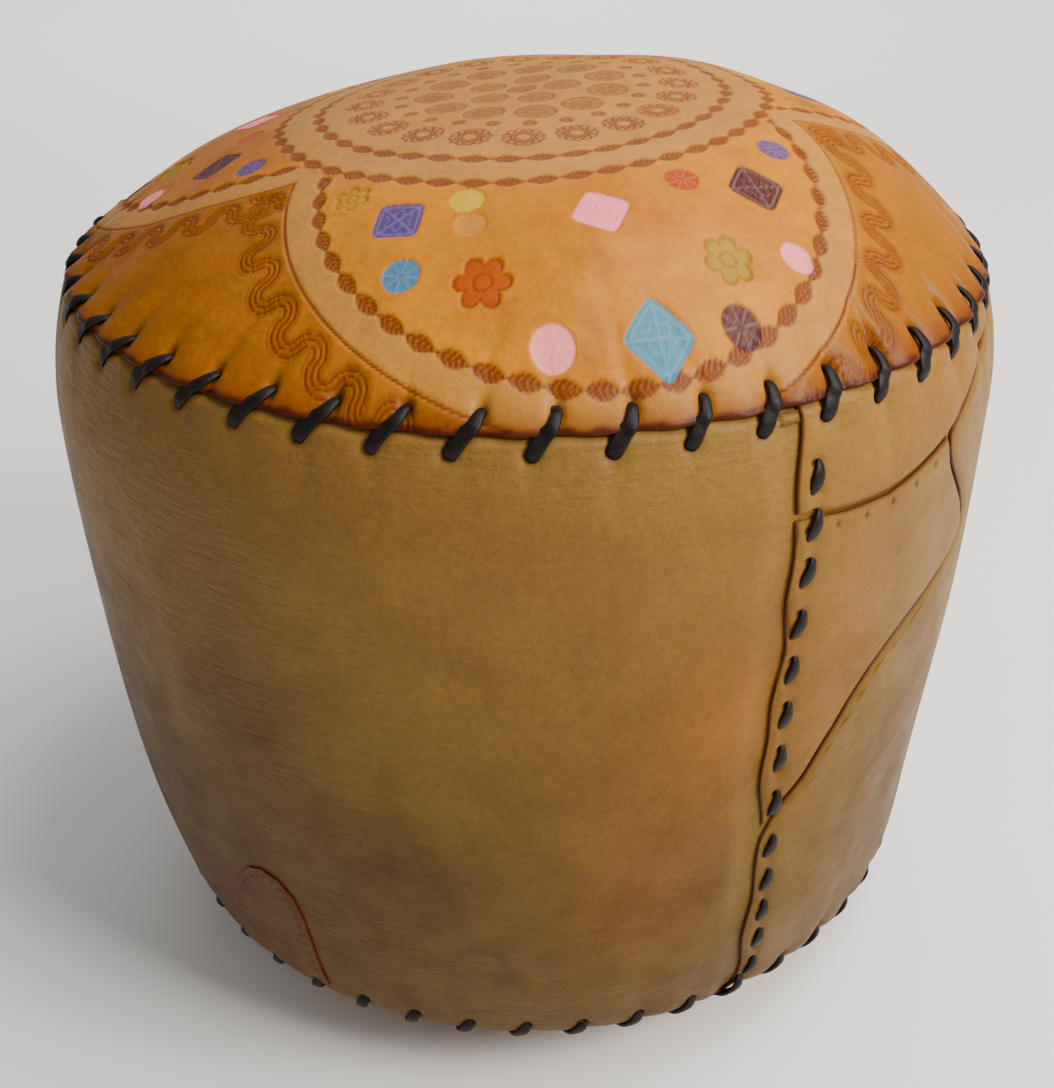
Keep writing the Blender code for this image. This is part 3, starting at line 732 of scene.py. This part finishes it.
# The slits of the rim stitches are painted dark too: painted shade in the holes.
edge = np.maximum(edge, 0.9 * smooth(0.45, 0.95, dimple))
paint_layer(crown, "edge", np.maximum(edge, ~top * (out > rim_radius * 0.98)) * 0.92)
near_rim = np.exp(-inward / 9.0)
paint_layer(crown, "tool", np.maximum(burn, 0.55 * np.exp(-(inward / 4.0) ** 2)) * top)
paint_layer(crown, "pale", pale * (1 - 0.5 * near_rim))
paint_layer(crown, "warm", np.clip(0.10 + 0.60 * spandrel + 0.3 * near_rim, 0, 1))
# The crown is painted darker towards its left side: painted shade, as the light falls from the
# right.
left_side_painted_shade = 0.30 * smooth(0.02, -0.14, x / 1000 - 0.2 * y / 1000)
paint_layer(crown, "stain_and_shade", np.maximum(0.35 * near_rim, left_side_painted_shade * (1 - 0.6 * pale)))
paint_layer(crown, "paint", paint * top[:, None])
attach(crown, "root")
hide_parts("crown_panel")
report(crown, "crown_panel")

# %% [markdown]
# ## The wall
# One hide covers the front half. The rear half is pieced from three offcuts, glued lap over
# lap: the lower piece over the middle one, and the middle one over the upper one. Every
# piece is a flat sheet whose two directions run round the drum and up the leather.
# A hide that passes under another dips by the thickness of the one above.

# %% Seams as lines of angle and height
upper_line = np.array([(22.0, 296.5), (29.9, 294.4), (33.1, 293.1), (39.1, 292.4),
        (44.2, 295.2), (51.4, 300.8), (56.2, 309.7), (61.9, 320.5),
        (67.0, 328.5), (70.1, 333.0), (73.5, 340.0)])
lower_line = np.array([(51.4, 300.8), (51.6, 294.0), (52.9, 285.6), (56.0, 273.0),
        (58.8, 262.0), (61.2, 249.0), (61.2, 240.0), (58.4, 233.0),
        (53.0, 227.5), (47.3, 219.8), (42.3, 207.6), (39.1, 195.4),
        (37.3, 185.9), (35.1, 176.4), (32.9, 164.8), (29.4, 154.0),
        (27.4, 140.4), (25.8, 132.0)])
patch_line = np.array([(-46.8, 47.5), (-45.8, 60.0), (-44.6, 74.0), (-42.8, 88.0),
        (-40.6, 101.0), (-38.2, 110.0), (-35.6, 114.2), (-33.0, 112.0),
        (-31.2, 104.0), (-30.5, 93.0), (-30.3, 78.0), (-30.1, 62.0),
        (-29.8, 47.5)])


def seam_edge(height):
    """Angle of the rear hide's wandering edge at the right seam."""
    return right_seam - half_lap + 0.36 * np.sin(height / 17.0) + 0.24 * np.sin(height / 7.3)


def rounded(values, steps, closed=False):
    """The values with steps points for each one, corners rounded."""
    count = len(values)
    keys = np.vstack([values, values[:1]]) if closed else values
    share = np.linspace(0, len(keys) - 1, (len(keys) - 1) * steps + 1)
    dense = np.stack([np.interp(share, range(len(keys)), keys[:, i])
            for i in range(keys.shape[1])], axis=1)
    dense = dense[:-1] if closed else dense
    for _ in range(steps):
        if closed:
            dense = (np.roll(dense, 1, 0) + 2 * dense + np.roll(dense, -1, 0)) / 4
        else:
            dense[1:-1] = (dense[:-2] + 2 * dense[1:-1] + dense[2:]) / 4
    return dense


def beside(line, angle, height):
    """Distance to a line and the place along it, in millimetres on the laid-out hide."""
    line = rounded(line, 8) * (arc_mm, 1.0)
    gap = np.full(len(angle), 1e9)
    place = np.zeros(len(angle))
    run = 0.0
    for start, end in zip(line[:-1], line[1:]):
        way = end - start
        length = float(np.hypot(*way))
        off_x, off_z = angle * arc_mm - start[0], height - start[1]
        share = np.clip((off_x * way[0] + off_z * way[1]) / length ** 2, 0.0, 1.0)
        near = np.hypot(off_x - share * way[0], off_z - share * way[1])
        place = np.where(near < gap, run + share * length, place)
        gap = np.minimum(gap, near)
        run += length
    return gap, place


def lapped_edge(gap):
    """A skived edge thins out, so that it lies close to the hide below."""
    return -1.2 * np.exp(-(gap / 2.4) ** 2)


def awl_dots(gap, place, inset=5.0, pitch=7.5):
    """The pricked dots that a glued edge was marked out with."""
    along = ((place / pitch) % 1 - 0.5) * pitch
    return smooth(1.7, 0.7, np.hypot(along, gap - inset))


# %% Stitches of the running seams
dash_heights = np.array([310.7, 291.7, 271.3, 247.9, 225.9, 203.5, 181.1, 157.4, 133.6,
        113.3, 93.6, 75.3, 53.6])
dash_half = 5.4
slit_drop = 1.6
cut_dye = 0.85
sunk_depth = hide_thickness + 0.3


def quilting(angle, height, seam):
    """Lift beside a running stitch: pressed in at each dash, swollen between them."""
    aside = (angle - seam) * arc_mm
    nearest = dash_heights[np.abs(height[:, None] - dash_heights[None, :]).argmin(axis=1)]
    off = height - nearest
    pressed = np.exp(-(aside / 4.0) ** 2 - (off / 7.5) ** 2)
    groove = np.exp(-(aside / 3.4) ** 2)
    slit = np.exp(-(aside / 2.2) ** 2 - ((np.abs(off) - dash_half) / 1.8) ** 2)
    return -0.3 * groove - 0.8 * pressed, slit


def side_seam(angle, height):
    """Lift, the dark dye of the cut edge and the painted shade in the slits, where a rear hide is
    laced over the front one.
    """
    gap = (angle - seam_edge(height)) * arc_mm
    stitched, slits = quilting(angle, height, right_seam)
    # The cut edge is dyed dark; the slits get painted shade.
    dye = np.maximum(cut_dye * smooth(1.1, 0.2, gap), smooth(0.5, 0.9, slits))
    return lapped_edge(gap) + stitched - slit_drop * slits, dye


# %% Dress a wall piece: where its vertices go and what they are painted with
def packed_lumps(angle, height, station):
    """Slow waves in the wall where the wool is packed harder or looser."""
    soft = 1.1 * np.sin(np.radians(angle * 3.1) + 0.7) * np.sin(height / 47.0)
    soft = soft + 0.7 * np.sin(np.radians(angle * 7.3)) * np.sin(height / 29.0 + 1.0)
    return soft * smooth(0, 70, wall_top - station) * smooth(0, 50, station)


def wall_depths(angle, height, station):
    """Lift, the painted shade in the lacing slits, and nearness to the rim, that all the wall
    pieces share at the rim and the base.
    """
    slant = rim_slant(angle)
    from_rim = wall_top - station
    rim_holes = hole(angle + slant, from_rim, rim_stitch_angle, 9.0)
    rim_puff = puckers(angle + slant * 0.7, np.clip(from_rim, 0, None), rim_stitch_angle)
    base_holes = hole(angle, station, base_stitch_angle, 9.5)
    base_puff = puckers(angle, station, base_stitch_angle)
    soft = packed_lumps(angle, height, station)
    lift = soft + 0.75 * rim_puff + 0.6 * base_puff - 2.2 * rim_holes - 2.0 * base_holes
    dark = np.maximum(rim_holes, base_holes)
    return lift, smooth(0.5, 0.95, dark) * 0.85, np.exp(-np.abs(from_rim) / 9.0)


def dress(piece, angle, station, extra, edge, layers, node):
    """Wrap a wall piece on the drum and give it its layers."""
    height = wall_curve(station)[1]
    lift, holes, near_rim = wall_depths(angle, height, station)
    move_points(piece, settled(on_curve(wall_curve, angle, station, lift + extra)))
    # The edge layer holds the dyed cut edges and the painted shade in the lacing slits.
    paint_layer(piece, "edge", np.clip(np.maximum(edge, holes), 0, 1))
    # Every wall piece is painted lighter towards the top: a painted glow of the light from above.
    paint_layer(piece, "pale", 0.34 * smooth(150.0, 345.0, height))
    # Every wall piece is also darker towards the base: partly painted shade under the tuck of the
    # wall, partly stain.
    layers["stain_and_shade"] = layers["stain_and_shade"] + 0.38 * smooth(230.0, 30.0, height)
    for name, values in layers.items():
        paint_layer(piece, name, np.clip(values, 0, 1))
    thicken(piece, hide_thickness)
    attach(piece, "root")
    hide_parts(node)
    report(piece, node)


def rows_up(share):
    """Station for a share of the height, with rows close together at rim and base."""
    return np.interp(share, [0.0, 0.13, 0.64, 1.0],
            [0.0, 26.0, wall_total - 46.0, wall_total])


def blot(angle, height, at, up, wide, tall):
    """A soft round mark."""
    return np.exp(-(((angle - at) * arc_mm / wide) ** 2 + ((height - up) / tall) ** 2))


def scar(angle, height, at, up, wide, tall):
    """The ring left by a healed scratch."""
    far = np.hypot((angle - at) * arc_mm / wide, (height - up) / tall)
    return np.exp(-((far - 1.0) / 0.22) ** 2) + 0.5 * np.exp(-far ** 2)


# %% The front hide
fine = 1.0
front, u, v = cut_sheet("front_hide", int(350 * fine), int(140 * fine), front_leather)
angle = back_seam - half_lap + u * (180.0 + 2 * half_lap)
station = rows_up(v)
height = wall_curve(station)[1]
under_right = smooth(right_seam - half_lap - 4.6, right_seam - half_lap - 0.9, angle)
under_back = smooth(back_seam + half_lap + 4.6, back_seam + half_lap + 0.9, angle)
dip = -(hide_thickness + 0.4) * np.maximum(under_right, under_back)
patch_gap = beside(patch_line, angle, height)[0]
stain_and_shade = sum(strength * mark(angle, height, *where) for mark, strength, *where in (
    (blot, 0.30, -33, 205, 22, 18), (scar, 0.30, -32, 210, 13, 15),
    (blot, 0.26, -22, 130, 70, 60), (blot, 0.25, -14, 150, 30, 20),
    (scar, 0.20, -7, 88, 12, 13), (blot, 0.20, -5, 250, 16, 9),
    (blot, 0.35, -60, 150, 70, 140), (blot, 0.30, 0, 300, 60, 8)))
warm = sum(strength * blot(angle, height, *where) for strength, *where in (
    (0.70, 21, 215, 30, 45), (0.30, 12, 130, 40, 60), (0.25, 20, 300, 60, 25)))
glue = smooth(3.4, 1.2, patch_gap) * 0.5
dress(front, angle, station, dip, np.zeros_like(u),
      {"stain_and_shade": stain_and_shade, "warm": warm, "tool": glue}, "wall_panel_front")

# %% The upper rear piece
upper, u, v = cut_sheet("rear_upper_hide", int(110 * fine), int(56 * fine), rear_leather)
angle = seam_edge(300.0) + u * (75.5 - seam_edge(300.0))
bottom = wall_station(np.interp(angle, upper_line[:, 0], upper_line[:, 1])) - 9.0
bottom = np.minimum(bottom, wall_total - 12.0)
station = bottom + v ** 0.85 * (wall_total - bottom)
height = wall_curve(station)[1]
angle = angle + (seam_edge(height) - seam_edge(300.0)) * (1 - u)
gap, place = beside(upper_line, angle, height)
beyond = np.where(height < np.interp(angle, upper_line[:, 0], upper_line[:, 1]), -gap, gap)
seam_lift, seam_dye_and_shade = side_seam(angle, height)
extra = seam_lift - sunk_depth * smooth(4.5, 0.6, beyond)
edge = np.maximum(seam_dye_and_shade, 0.4 * smooth(1.4, 0.3, np.abs(beyond)))
warm = 0.25 + 0.3 * blot(angle, height, 50, 330, 30, 14)
dress(upper, angle, station, extra, edge,
      {"stain_and_shade": 0.25 * blot(angle, height, 42, 300, 20, 8), "warm": warm}, "wall_panel_upper")

# %% The middle rear piece
middle, u, v = cut_sheet("rear_middle_hide", int(96 * fine), int(110 * fine), rear_leather)
side_line = lower_line[::-1]
lowest, highest = 133.0, 302.0
level = lowest + v * (highest - lowest)
right_edge = np.interp(level, side_line[:, 1], side_line[:, 0]) + 2.6
angle = seam_edge(level) + u * (right_edge - seam_edge(level))
top_edge = np.interp(angle, upper_line[:, 0], upper_line[:, 1])
height = lowest + v * (np.minimum(top_edge, highest) - lowest)
station = wall_station(height)
top_gap, top_place = beside(upper_line, angle, height)
low_gap, low_place = beside(lower_line, angle, height)
inside = angle < np.interp(height, side_line[:, 1], side_line[:, 0])
beyond = np.where(inside, low_gap, -low_gap)
seam_lift, seam_dye_and_shade = side_seam(angle, height)
extra = seam_lift - sunk_depth * smooth(4.5, 0.6, beyond) + 0.7 * lapped_edge(top_gap)
dots = awl_dots(top_gap, top_place, 4.0, 14.0) * (top_gap < 9) * (beyond > 12)
extra = extra - 0.6 * dots
edge = np.maximum(seam_dye_and_shade, np.maximum(0.6 * smooth(1.5, 0.4, top_gap), 0.8 * dots))
edge = np.maximum(edge, 0.7 * smooth(1.6, 0.3, np.abs(beyond)))
dress(middle, angle, station, extra, edge,
      {"stain_and_shade": 0.25 * blot(angle, height, 40, 280, 14, 20),
       "warm": 0.20 + 0.35 * blot(angle, height, 34, 230, 22, 40)}, "wall_panel_middle")

# %% The lower rear piece
lower, u, v = cut_sheet("rear_lower_hide", int(350 * fine), int(140 * fine), rear_leather)
station = rows_up(v)
height = wall_curve(station)[1]
rising = np.concatenate([lower_line[::-1], upper_line[5:]])
rising = rising[np.argsort(rising[:, 1])]
border = np.interp(height, rising[:, 1], rising[:, 0])
left = np.where(height < 139.0, seam_edge(height), np.maximum(border, seam_edge(height)))
across = u ** 1.12
angle = left + across * (back_seam + 360.0 + half_lap - left)
low_gap, low_place = beside(lower_line, angle, height)
top_gap, top_place = beside(upper_line[5:], angle, height)
own = np.minimum(np.where(height > 137.0, low_gap, 99.0), top_gap)
place = np.where(low_gap < top_gap, low_place, top_place)
side_gap = (angle - seam_edge(height)) * arc_mm
back_gap = (back_seam + 360.0 + half_lap - angle) * arc_mm
stitched, slits = quilting(angle, height, right_seam)
back_stitched, back_slits = quilting(angle, height, back_seam + 360.0)
free = height < 150.0
stitched = np.where(free, stitched, 0.0)
slits = np.where(free, slits, 0.0)
dots = awl_dots(own, place, 4.0, 14.0) * (own < 9) * (angle < 50) * (height > 150)
side_edge = np.where(height < 139.0, side_gap, 99.0)
extra = lapped_edge(side_edge) + lapped_edge(own) + lapped_edge(back_gap) - 0.7 * dots
extra = extra + stitched + back_stitched - slit_drop * (slits + back_slits)
# Dyed cut edges, and painted shade in the slits of the running stitches.
edge = np.maximum(cut_dye * smooth(1.1, 0.2, np.minimum(side_edge, back_gap)),
        smooth(0.5, 0.9, np.maximum(slits, back_slits)))
edge = np.maximum(edge, np.maximum(0.75 * smooth(1.7, 0.4, own), 0.5 * dots))
dress(lower, angle, station, extra, edge,
      {"stain_and_shade": 0.3 * blot(angle, height, 60, 90, 60, 60), "warm": 0.12 + 0 * u},
      "wall_panel_lower")

# %% [markdown]
# ## The repair patch
# A thin arch of skived hide is glued over a worn place beside the base. Its glue line has
# darkened to a red brown, pricked with dots along the edge.

# %% The patch
patch, u, v = cut_sheet("repair_patch_hide", 44, 60, front_leather)
crest = patch_line[:, 1].argmax()
foot, tip = patch_line[:, 1].min(), patch_line[:, 1].max()
height = foot + (tip - foot) * np.sin(v * math.pi / 2)
left = np.interp(height, patch_line[:crest + 1, 1], patch_line[:crest + 1, 0])
right = np.interp(-height, -patch_line[crest:, 1], patch_line[crest:, 0])
angle = left + u * (right - left)
gap, place = beside(patch_line, angle, height)
gap = np.minimum(gap, 99.0)
station = wall_station(height)
dots = awl_dots(gap, place, 3.4, 6.0)
extra = 1.3 - 0.35 * smooth(3.0, 0.0, gap) - 0.4 * dots
dress(patch, angle, station, extra, 0.8 * dots,
      {"stain_and_shade": 0.25 + 0.3 * v, "warm": 0.3 + 0 * v,
       "tool": 0.6 * smooth(2.4, 0.6, gap)}, "repair_patch")
patch.modifiers["hide"].thickness = 0.0011

# %% [markdown]
# ## The base
# A plain disc of thicker hide closes the bottom. It is flat where the pouf stands and
# turns up at the edge to meet the wall, gathered a little at each stitch.

# %% The base
disc = round_sheet(int(90 * fine))
bmesh.ops.reverse_faces(disc, faces=disc.faces)
base = object_from(disc, "base_hide", base_leather)
flat = points_of(base)
out = np.hypot(flat[:, 0], flat[:, 1])
angle = np.degrees(np.arctan2(flat[:, 0], -flat[:, 1]))
station = 2.0 * out
inward = (1.0 - out) * 145.0
lift = 0.5 * puckers(angle, inward, base_stitch_angle) * smooth(1.0, 1.4, station)
holes = hole(angle, inward, base_stitch_angle - base_slant, 9.5)
lift = lift - 2.0 * holes
raised = settled(on_curve(base_curve, angle, station, lift, 0.01))
raised[:, 2] = np.maximum(raised[:, 2], 0.0)
move_points(base, raised)
# The dyed cut edge, and painted shade in the slits of the lacing.
paint_layer(base, "edge", np.maximum(smooth(2.5, 0.8, inward), smooth(0.5, 0.95, holes)) * 0.8)
paint_layer(base, "stain_and_shade", 0.5 * smooth(1.1, 0.6, station))
thicken(base, crown_thickness)
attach(base, "root")
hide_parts("base_panel")
report(base, "base_panel")

# %% [markdown]
# ## The lacing
# One flat strip whips over the rim: out of a slit in the crown, over the cut edge, down to
# the left into a slit in the wall, and on inside to the next slit. It is a flat
# grid rolled into a tube of ten corners along that route, wide over the edge and squeezed
# where it dives into a slit. Welding the grid's borders closes the tube.

# %% Sweep a strap along a route
strap_corners = 10


def strap(name, keys, closed, node, steps=3):
    """A strip along keys: angle, radius, height, normal out, normal up, width, thickness."""
    route = rounded(np.array(keys), steps, closed)
    turn = np.radians(route[:, 0])
    sine, cosine = np.sin(turn), np.cos(turn)
    centre = np.stack([route[:, 1] * sine, -route[:, 1] * cosine, route[:, 2]], axis=1)
    centre = settled(centre)
    face = np.stack([route[:, 3] * sine, -route[:, 3] * cosine, route[:, 4]], axis=1)
    if closed:
        ahead = np.roll(centre, -1, 0) - np.roll(centre, 1, 0)
    else:
        ahead = np.gradient(centre, axis=0)
    ahead /= np.linalg.norm(ahead, axis=1)[:, None]
    face -= ahead * (face * ahead).sum(axis=1)[:, None]
    face /= np.linalg.norm(face, axis=1)[:, None]
    side = np.cross(ahead, face)
    corners = np.arange(strap_corners) * 2 * np.pi / strap_corners
    flat_way = -np.sign(np.sin(corners)) * np.abs(np.sin(corners)) ** 0.8
    thick_way = np.sign(np.cos(corners)) * np.abs(np.cos(corners)) ** 0.7
    spans = len(route) if closed else len(route) - 1
    shape = flat_sheet(spans, strap_corners)
    for vertex in shape.verts:
        step = round(vertex.co.x * spans) % len(route)
        corner = round(vertex.co.y * strap_corners) % strap_corners
        across = flat_way[corner] * side[step] * route[step, 5] / 2000
        through = thick_way[corner] * face[step] * route[step, 6] / 2000
        vertex.co = centre[step] + across + through
    bmesh.ops.remove_doubles(shape, verts=shape.verts, dist=1e-7)
    bmesh.ops.holes_fill(shape, edges=[edge for edge in shape.edges if edge.is_boundary])
    bmesh.ops.recalc_face_normals(shape, faces=shape.faces)
    made = object_from(shape, name, thong_leather)
    laced = np.linalg.norm(np.diff(centre, axis=0), axis=1).sum()
    print(name, "has a route", round(float(laced), 2), "m long")
    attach(made, "root")
    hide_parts(node)
    report(made, node)
    return made


def key(curve, angle, station, lift, width, thick, step=0.5):
    """One step of a strap's route on a curve."""
    on = on_curve(curve, 0.0, np.array([float(station)]), 0.0, step)[0]
    off = on_curve(curve, 0.0, np.array([float(station)]), 1.0, step)[0]
    out = off - on
    place = on + out * lift
    return (angle, -place[1], place[2], -out[1], out[2], width, thick)


# %% The rim lacing
keys = []
for count in range(stitch_count):
    top = rim_stitch_angle - stitch_step * count
    slant = float(rim_slant(top))
    low = top - slant
    pull = float(puckers(np.array([top]), np.array([4.0]), rim_stitch_angle)[0])
    pull_low = 0.75 * float(puckers(np.array([top]), np.array([8.0]), rim_stitch_angle)[0])
    wide = 6.0 + 0.5 * math.sin(count * 2.3)
    keys += [
        key(crown_curve, top + 0.2, 193.0, pull - 4.6, 3.2, 1.6),
        key(crown_curve, top + 0.1, 193.9, pull - 0.9, 3.4, 1.9),
        key(crown_curve, top - 0.2, 196.4, pull + 0.9, 0.72 * wide, 1.9),
        key(crown_curve, top - 0.25 * slant, 199.8, pull + 1.9, 0.86 * wide, 1.9),
        key(wall_curve, top - 0.52 * slant, wall_top - 1.6, 0.6 * pull + 2.3, wide, 1.8),
        key(wall_curve, top - 0.80 * slant, wall_top - 6.2, pull_low + 1.1, wide, 1.7),
        key(wall_curve, low, wall_top - 9.8, pull_low - 0.5, 0.86 * wide, 1.9),
        key(wall_curve, low - 0.1, wall_top - 10.8, pull_low - 4.4, 3.4, 1.6),
        key(wall_curve, low - 0.4 * (stitch_step - slant), wall_top - 8.0, -6.8, 5.0, 1.5),
        key(crown_curve, low - 0.8 * (stitch_step - slant), 192.0, -8.0, 5.0, 1.5),
    ]
strap("rim_thong", keys, True, "rim_lacing")

# %% The base lacing
keys = []
for count in range(stitch_count):
    top = base_stitch_angle - stitch_step * count
    low = top - base_slant
    keys += [
        key(wall_curve, top, 10.4, -4.6, 4.0, 1.8),
        key(wall_curve, top, 9.6, -1.2, 4.6, 2.2),
        key(wall_curve, top - 0.2 * base_slant, 6.0, 1.0, 5.4, 2.5),
        key(wall_curve, top - 0.5 * base_slant, 0.8, 1.8, 5.4, 2.5),
        key(base_curve, top - 0.7 * base_slant, 1.955, 1.4, 5.4, 2.4, 0.01),
        key(base_curve, low, 1.873, -0.9, 4.2, 2.0, 0.01),
        key(base_curve, low, 1.862, -4.6, 3.8, 1.6, 0.01),
        key(base_curve, low - 0.5 * (stitch_step - base_slant), 1.90, -6.0, 5.0, 1.5, 0.01),
    ]
strap("base_thong", keys, True, "base_lacing")


# %% The running stitches of the side seams
def running_stitch(name, seam, node):
    """Leaf-shaped dashes pressed into the seam, joined inside."""
    keys = [key(wall_curve, seam, wall_station(322.0), -6.5, 3.6, 1.4)]
    for middle_height in dash_heights:
        tilt = 0.55 + 0.15 * math.sin(middle_height)
        for off, lift, width, thick in ((7.2, -4.6, 1.4, 1.2), (6.0, -1.3, 2.0, 1.5),
                (2.8, -0.1, 4.6, 1.9), (0.0, 0.2, 5.8, 2.0),
                (-2.8, -0.1, 5.0, 1.9), (-6.0, -1.3, 2.2, 1.5),
                (-7.2, -4.6, 1.4, 1.2)):
            turn = seam + tilt * off / 7.0
            station = wall_station(middle_height + off)
            lift = lift + packed_lumps(turn, middle_height + off, station)
            keys.append(key(wall_curve, turn, station, float(lift), width, thick))
    keys.append(key(wall_curve, seam, wall_station(44.0), -6.5, 3.6, 1.4))
    strap(name, keys, False, node)


running_stitch("right_seam_thong", right_seam, "right_seam_lacing")
running_stitch("back_seam_thong", back_seam, "back_seam_lacing")

# %% [markdown]
# ## What is inside
# The calico bag and the wool keep the shapes of the solid model, and never show while the
# pouf is laced. They get their own cloth all the same.

# %% Cloth for the inner pieces
for node, material in (("calico_liner", calico), ("stuffing", wool)):
    inner = bpy.data.objects[node]
    inner.data.materials.clear()
    inner.data.materials.append(material)
    print(node, material.name)

# %% [markdown]
# ## Floor, light and camera
# A pale floor runs on as far as the view does. A large soft light stands to the right and
# above, like a window, with another overhead, a wash on the floor behind and a weak fill
# from the left. The camera stands close, a little above the crown, and looks down at it.

# %% Floor and world
floor_sheet = bmesh.new()
bmesh.ops.create_grid(floor_sheet, x_segments=1, y_segments=1, size=12.0)
floor_material = blank("pale_matt_floor")
floor_tree = floor_material.node_tree
floor_place = add(floor_tree, "ShaderNodeTexCoord").outputs["Object"]
floor_grain = add(floor_tree, "ShaderNodeTexNoise", {"Vector": floor_place, "Scale": 3.0})
floor_tone = add(floor_tree, "ShaderNodeMix", {0: floor_grain.outputs[0],
        6: linear("#F1EFEC"), 7: linear("#F4F2EF")},
        data_type="RGBA")
floor_skin = add(floor_tree, "ShaderNodeBsdfPrincipled", {"Base Color": floor_tone.outputs[2],
        "Roughness": 0.75})
add(floor_tree, "ShaderNodeOutputMaterial", {0: floor_skin.outputs[0]})
floor = object_from(floor_sheet, "floor", floor_material)
world = bpy.data.worlds.new("studio")
world.use_nodes = True
world.node_tree.nodes["Background"].inputs[0].default_value = (1.0, 1.0, 1.0, 1.0)
world.node_tree.nodes["Background"].inputs[1].default_value = 0.36
bpy.context.scene.world = world


# %% Lights
def soft_light(name, place, size, power, colour, aim=(0, 0, 0.2)):
    """A square light that faces the middle of the pouf, or another aim."""
    light = bpy.data.lights.new(name, "AREA")
    light.size = size
    light.energy = power
    light.color = colour
    lamp = bpy.data.objects.new(name, light)
    lamp.location = place
    lamp.rotation_euler = (Vector(aim) - Vector(place)).to_track_quat("-Z", "Y").to_euler()
    bpy.context.scene.collection.objects.link(lamp)


soft_light("window", (1.75, -1.05, 1.75), 1.0, 82.0, (1.0, 0.97, 0.92))
soft_light("overhead", (0.9, 0.0, 2.2), 1.3, 50.0, (1.0, 0.98, 0.95))
soft_light("floor_wash", (0.0, 2.8, 2.3), 2.4, 110.0, (1.0, 1.0, 1.0), (0.0, 4.0, 0.0))
soft_light("fill", (-2.0, -1.6, 1.2), 2.0, 2.0, (0.93, 0.96, 1.0))

# %% Camera
elevation, roll = 0.505, -0.035
level_up = Vector((0.0, math.sin(elevation), math.cos(elevation)))
forward = Vector((0.0, math.cos(elevation), -math.sin(elevation)))
right = Vector((1, 0, 0)) * math.cos(roll) + level_up * math.sin(roll)
up = level_up * math.cos(roll) - Vector((1, 0, 0)) * math.sin(roll)
turned = Matrix((right, up, -forward)).transposed().to_4x4()
lens = bpy.data.cameras.new("camera")
lens.lens = 46.3
lens.sensor_width = 36.0
lens.shift_x = -0.0020
lens.shift_y = -0.0580
camera = bpy.data.objects.new("camera", lens)
camera.matrix_world = Matrix.Translation((0.0, -0.6098, 0.5471)) @ turned
bpy.context.scene.collection.objects.link(camera)
bpy.context.scene.camera = camera
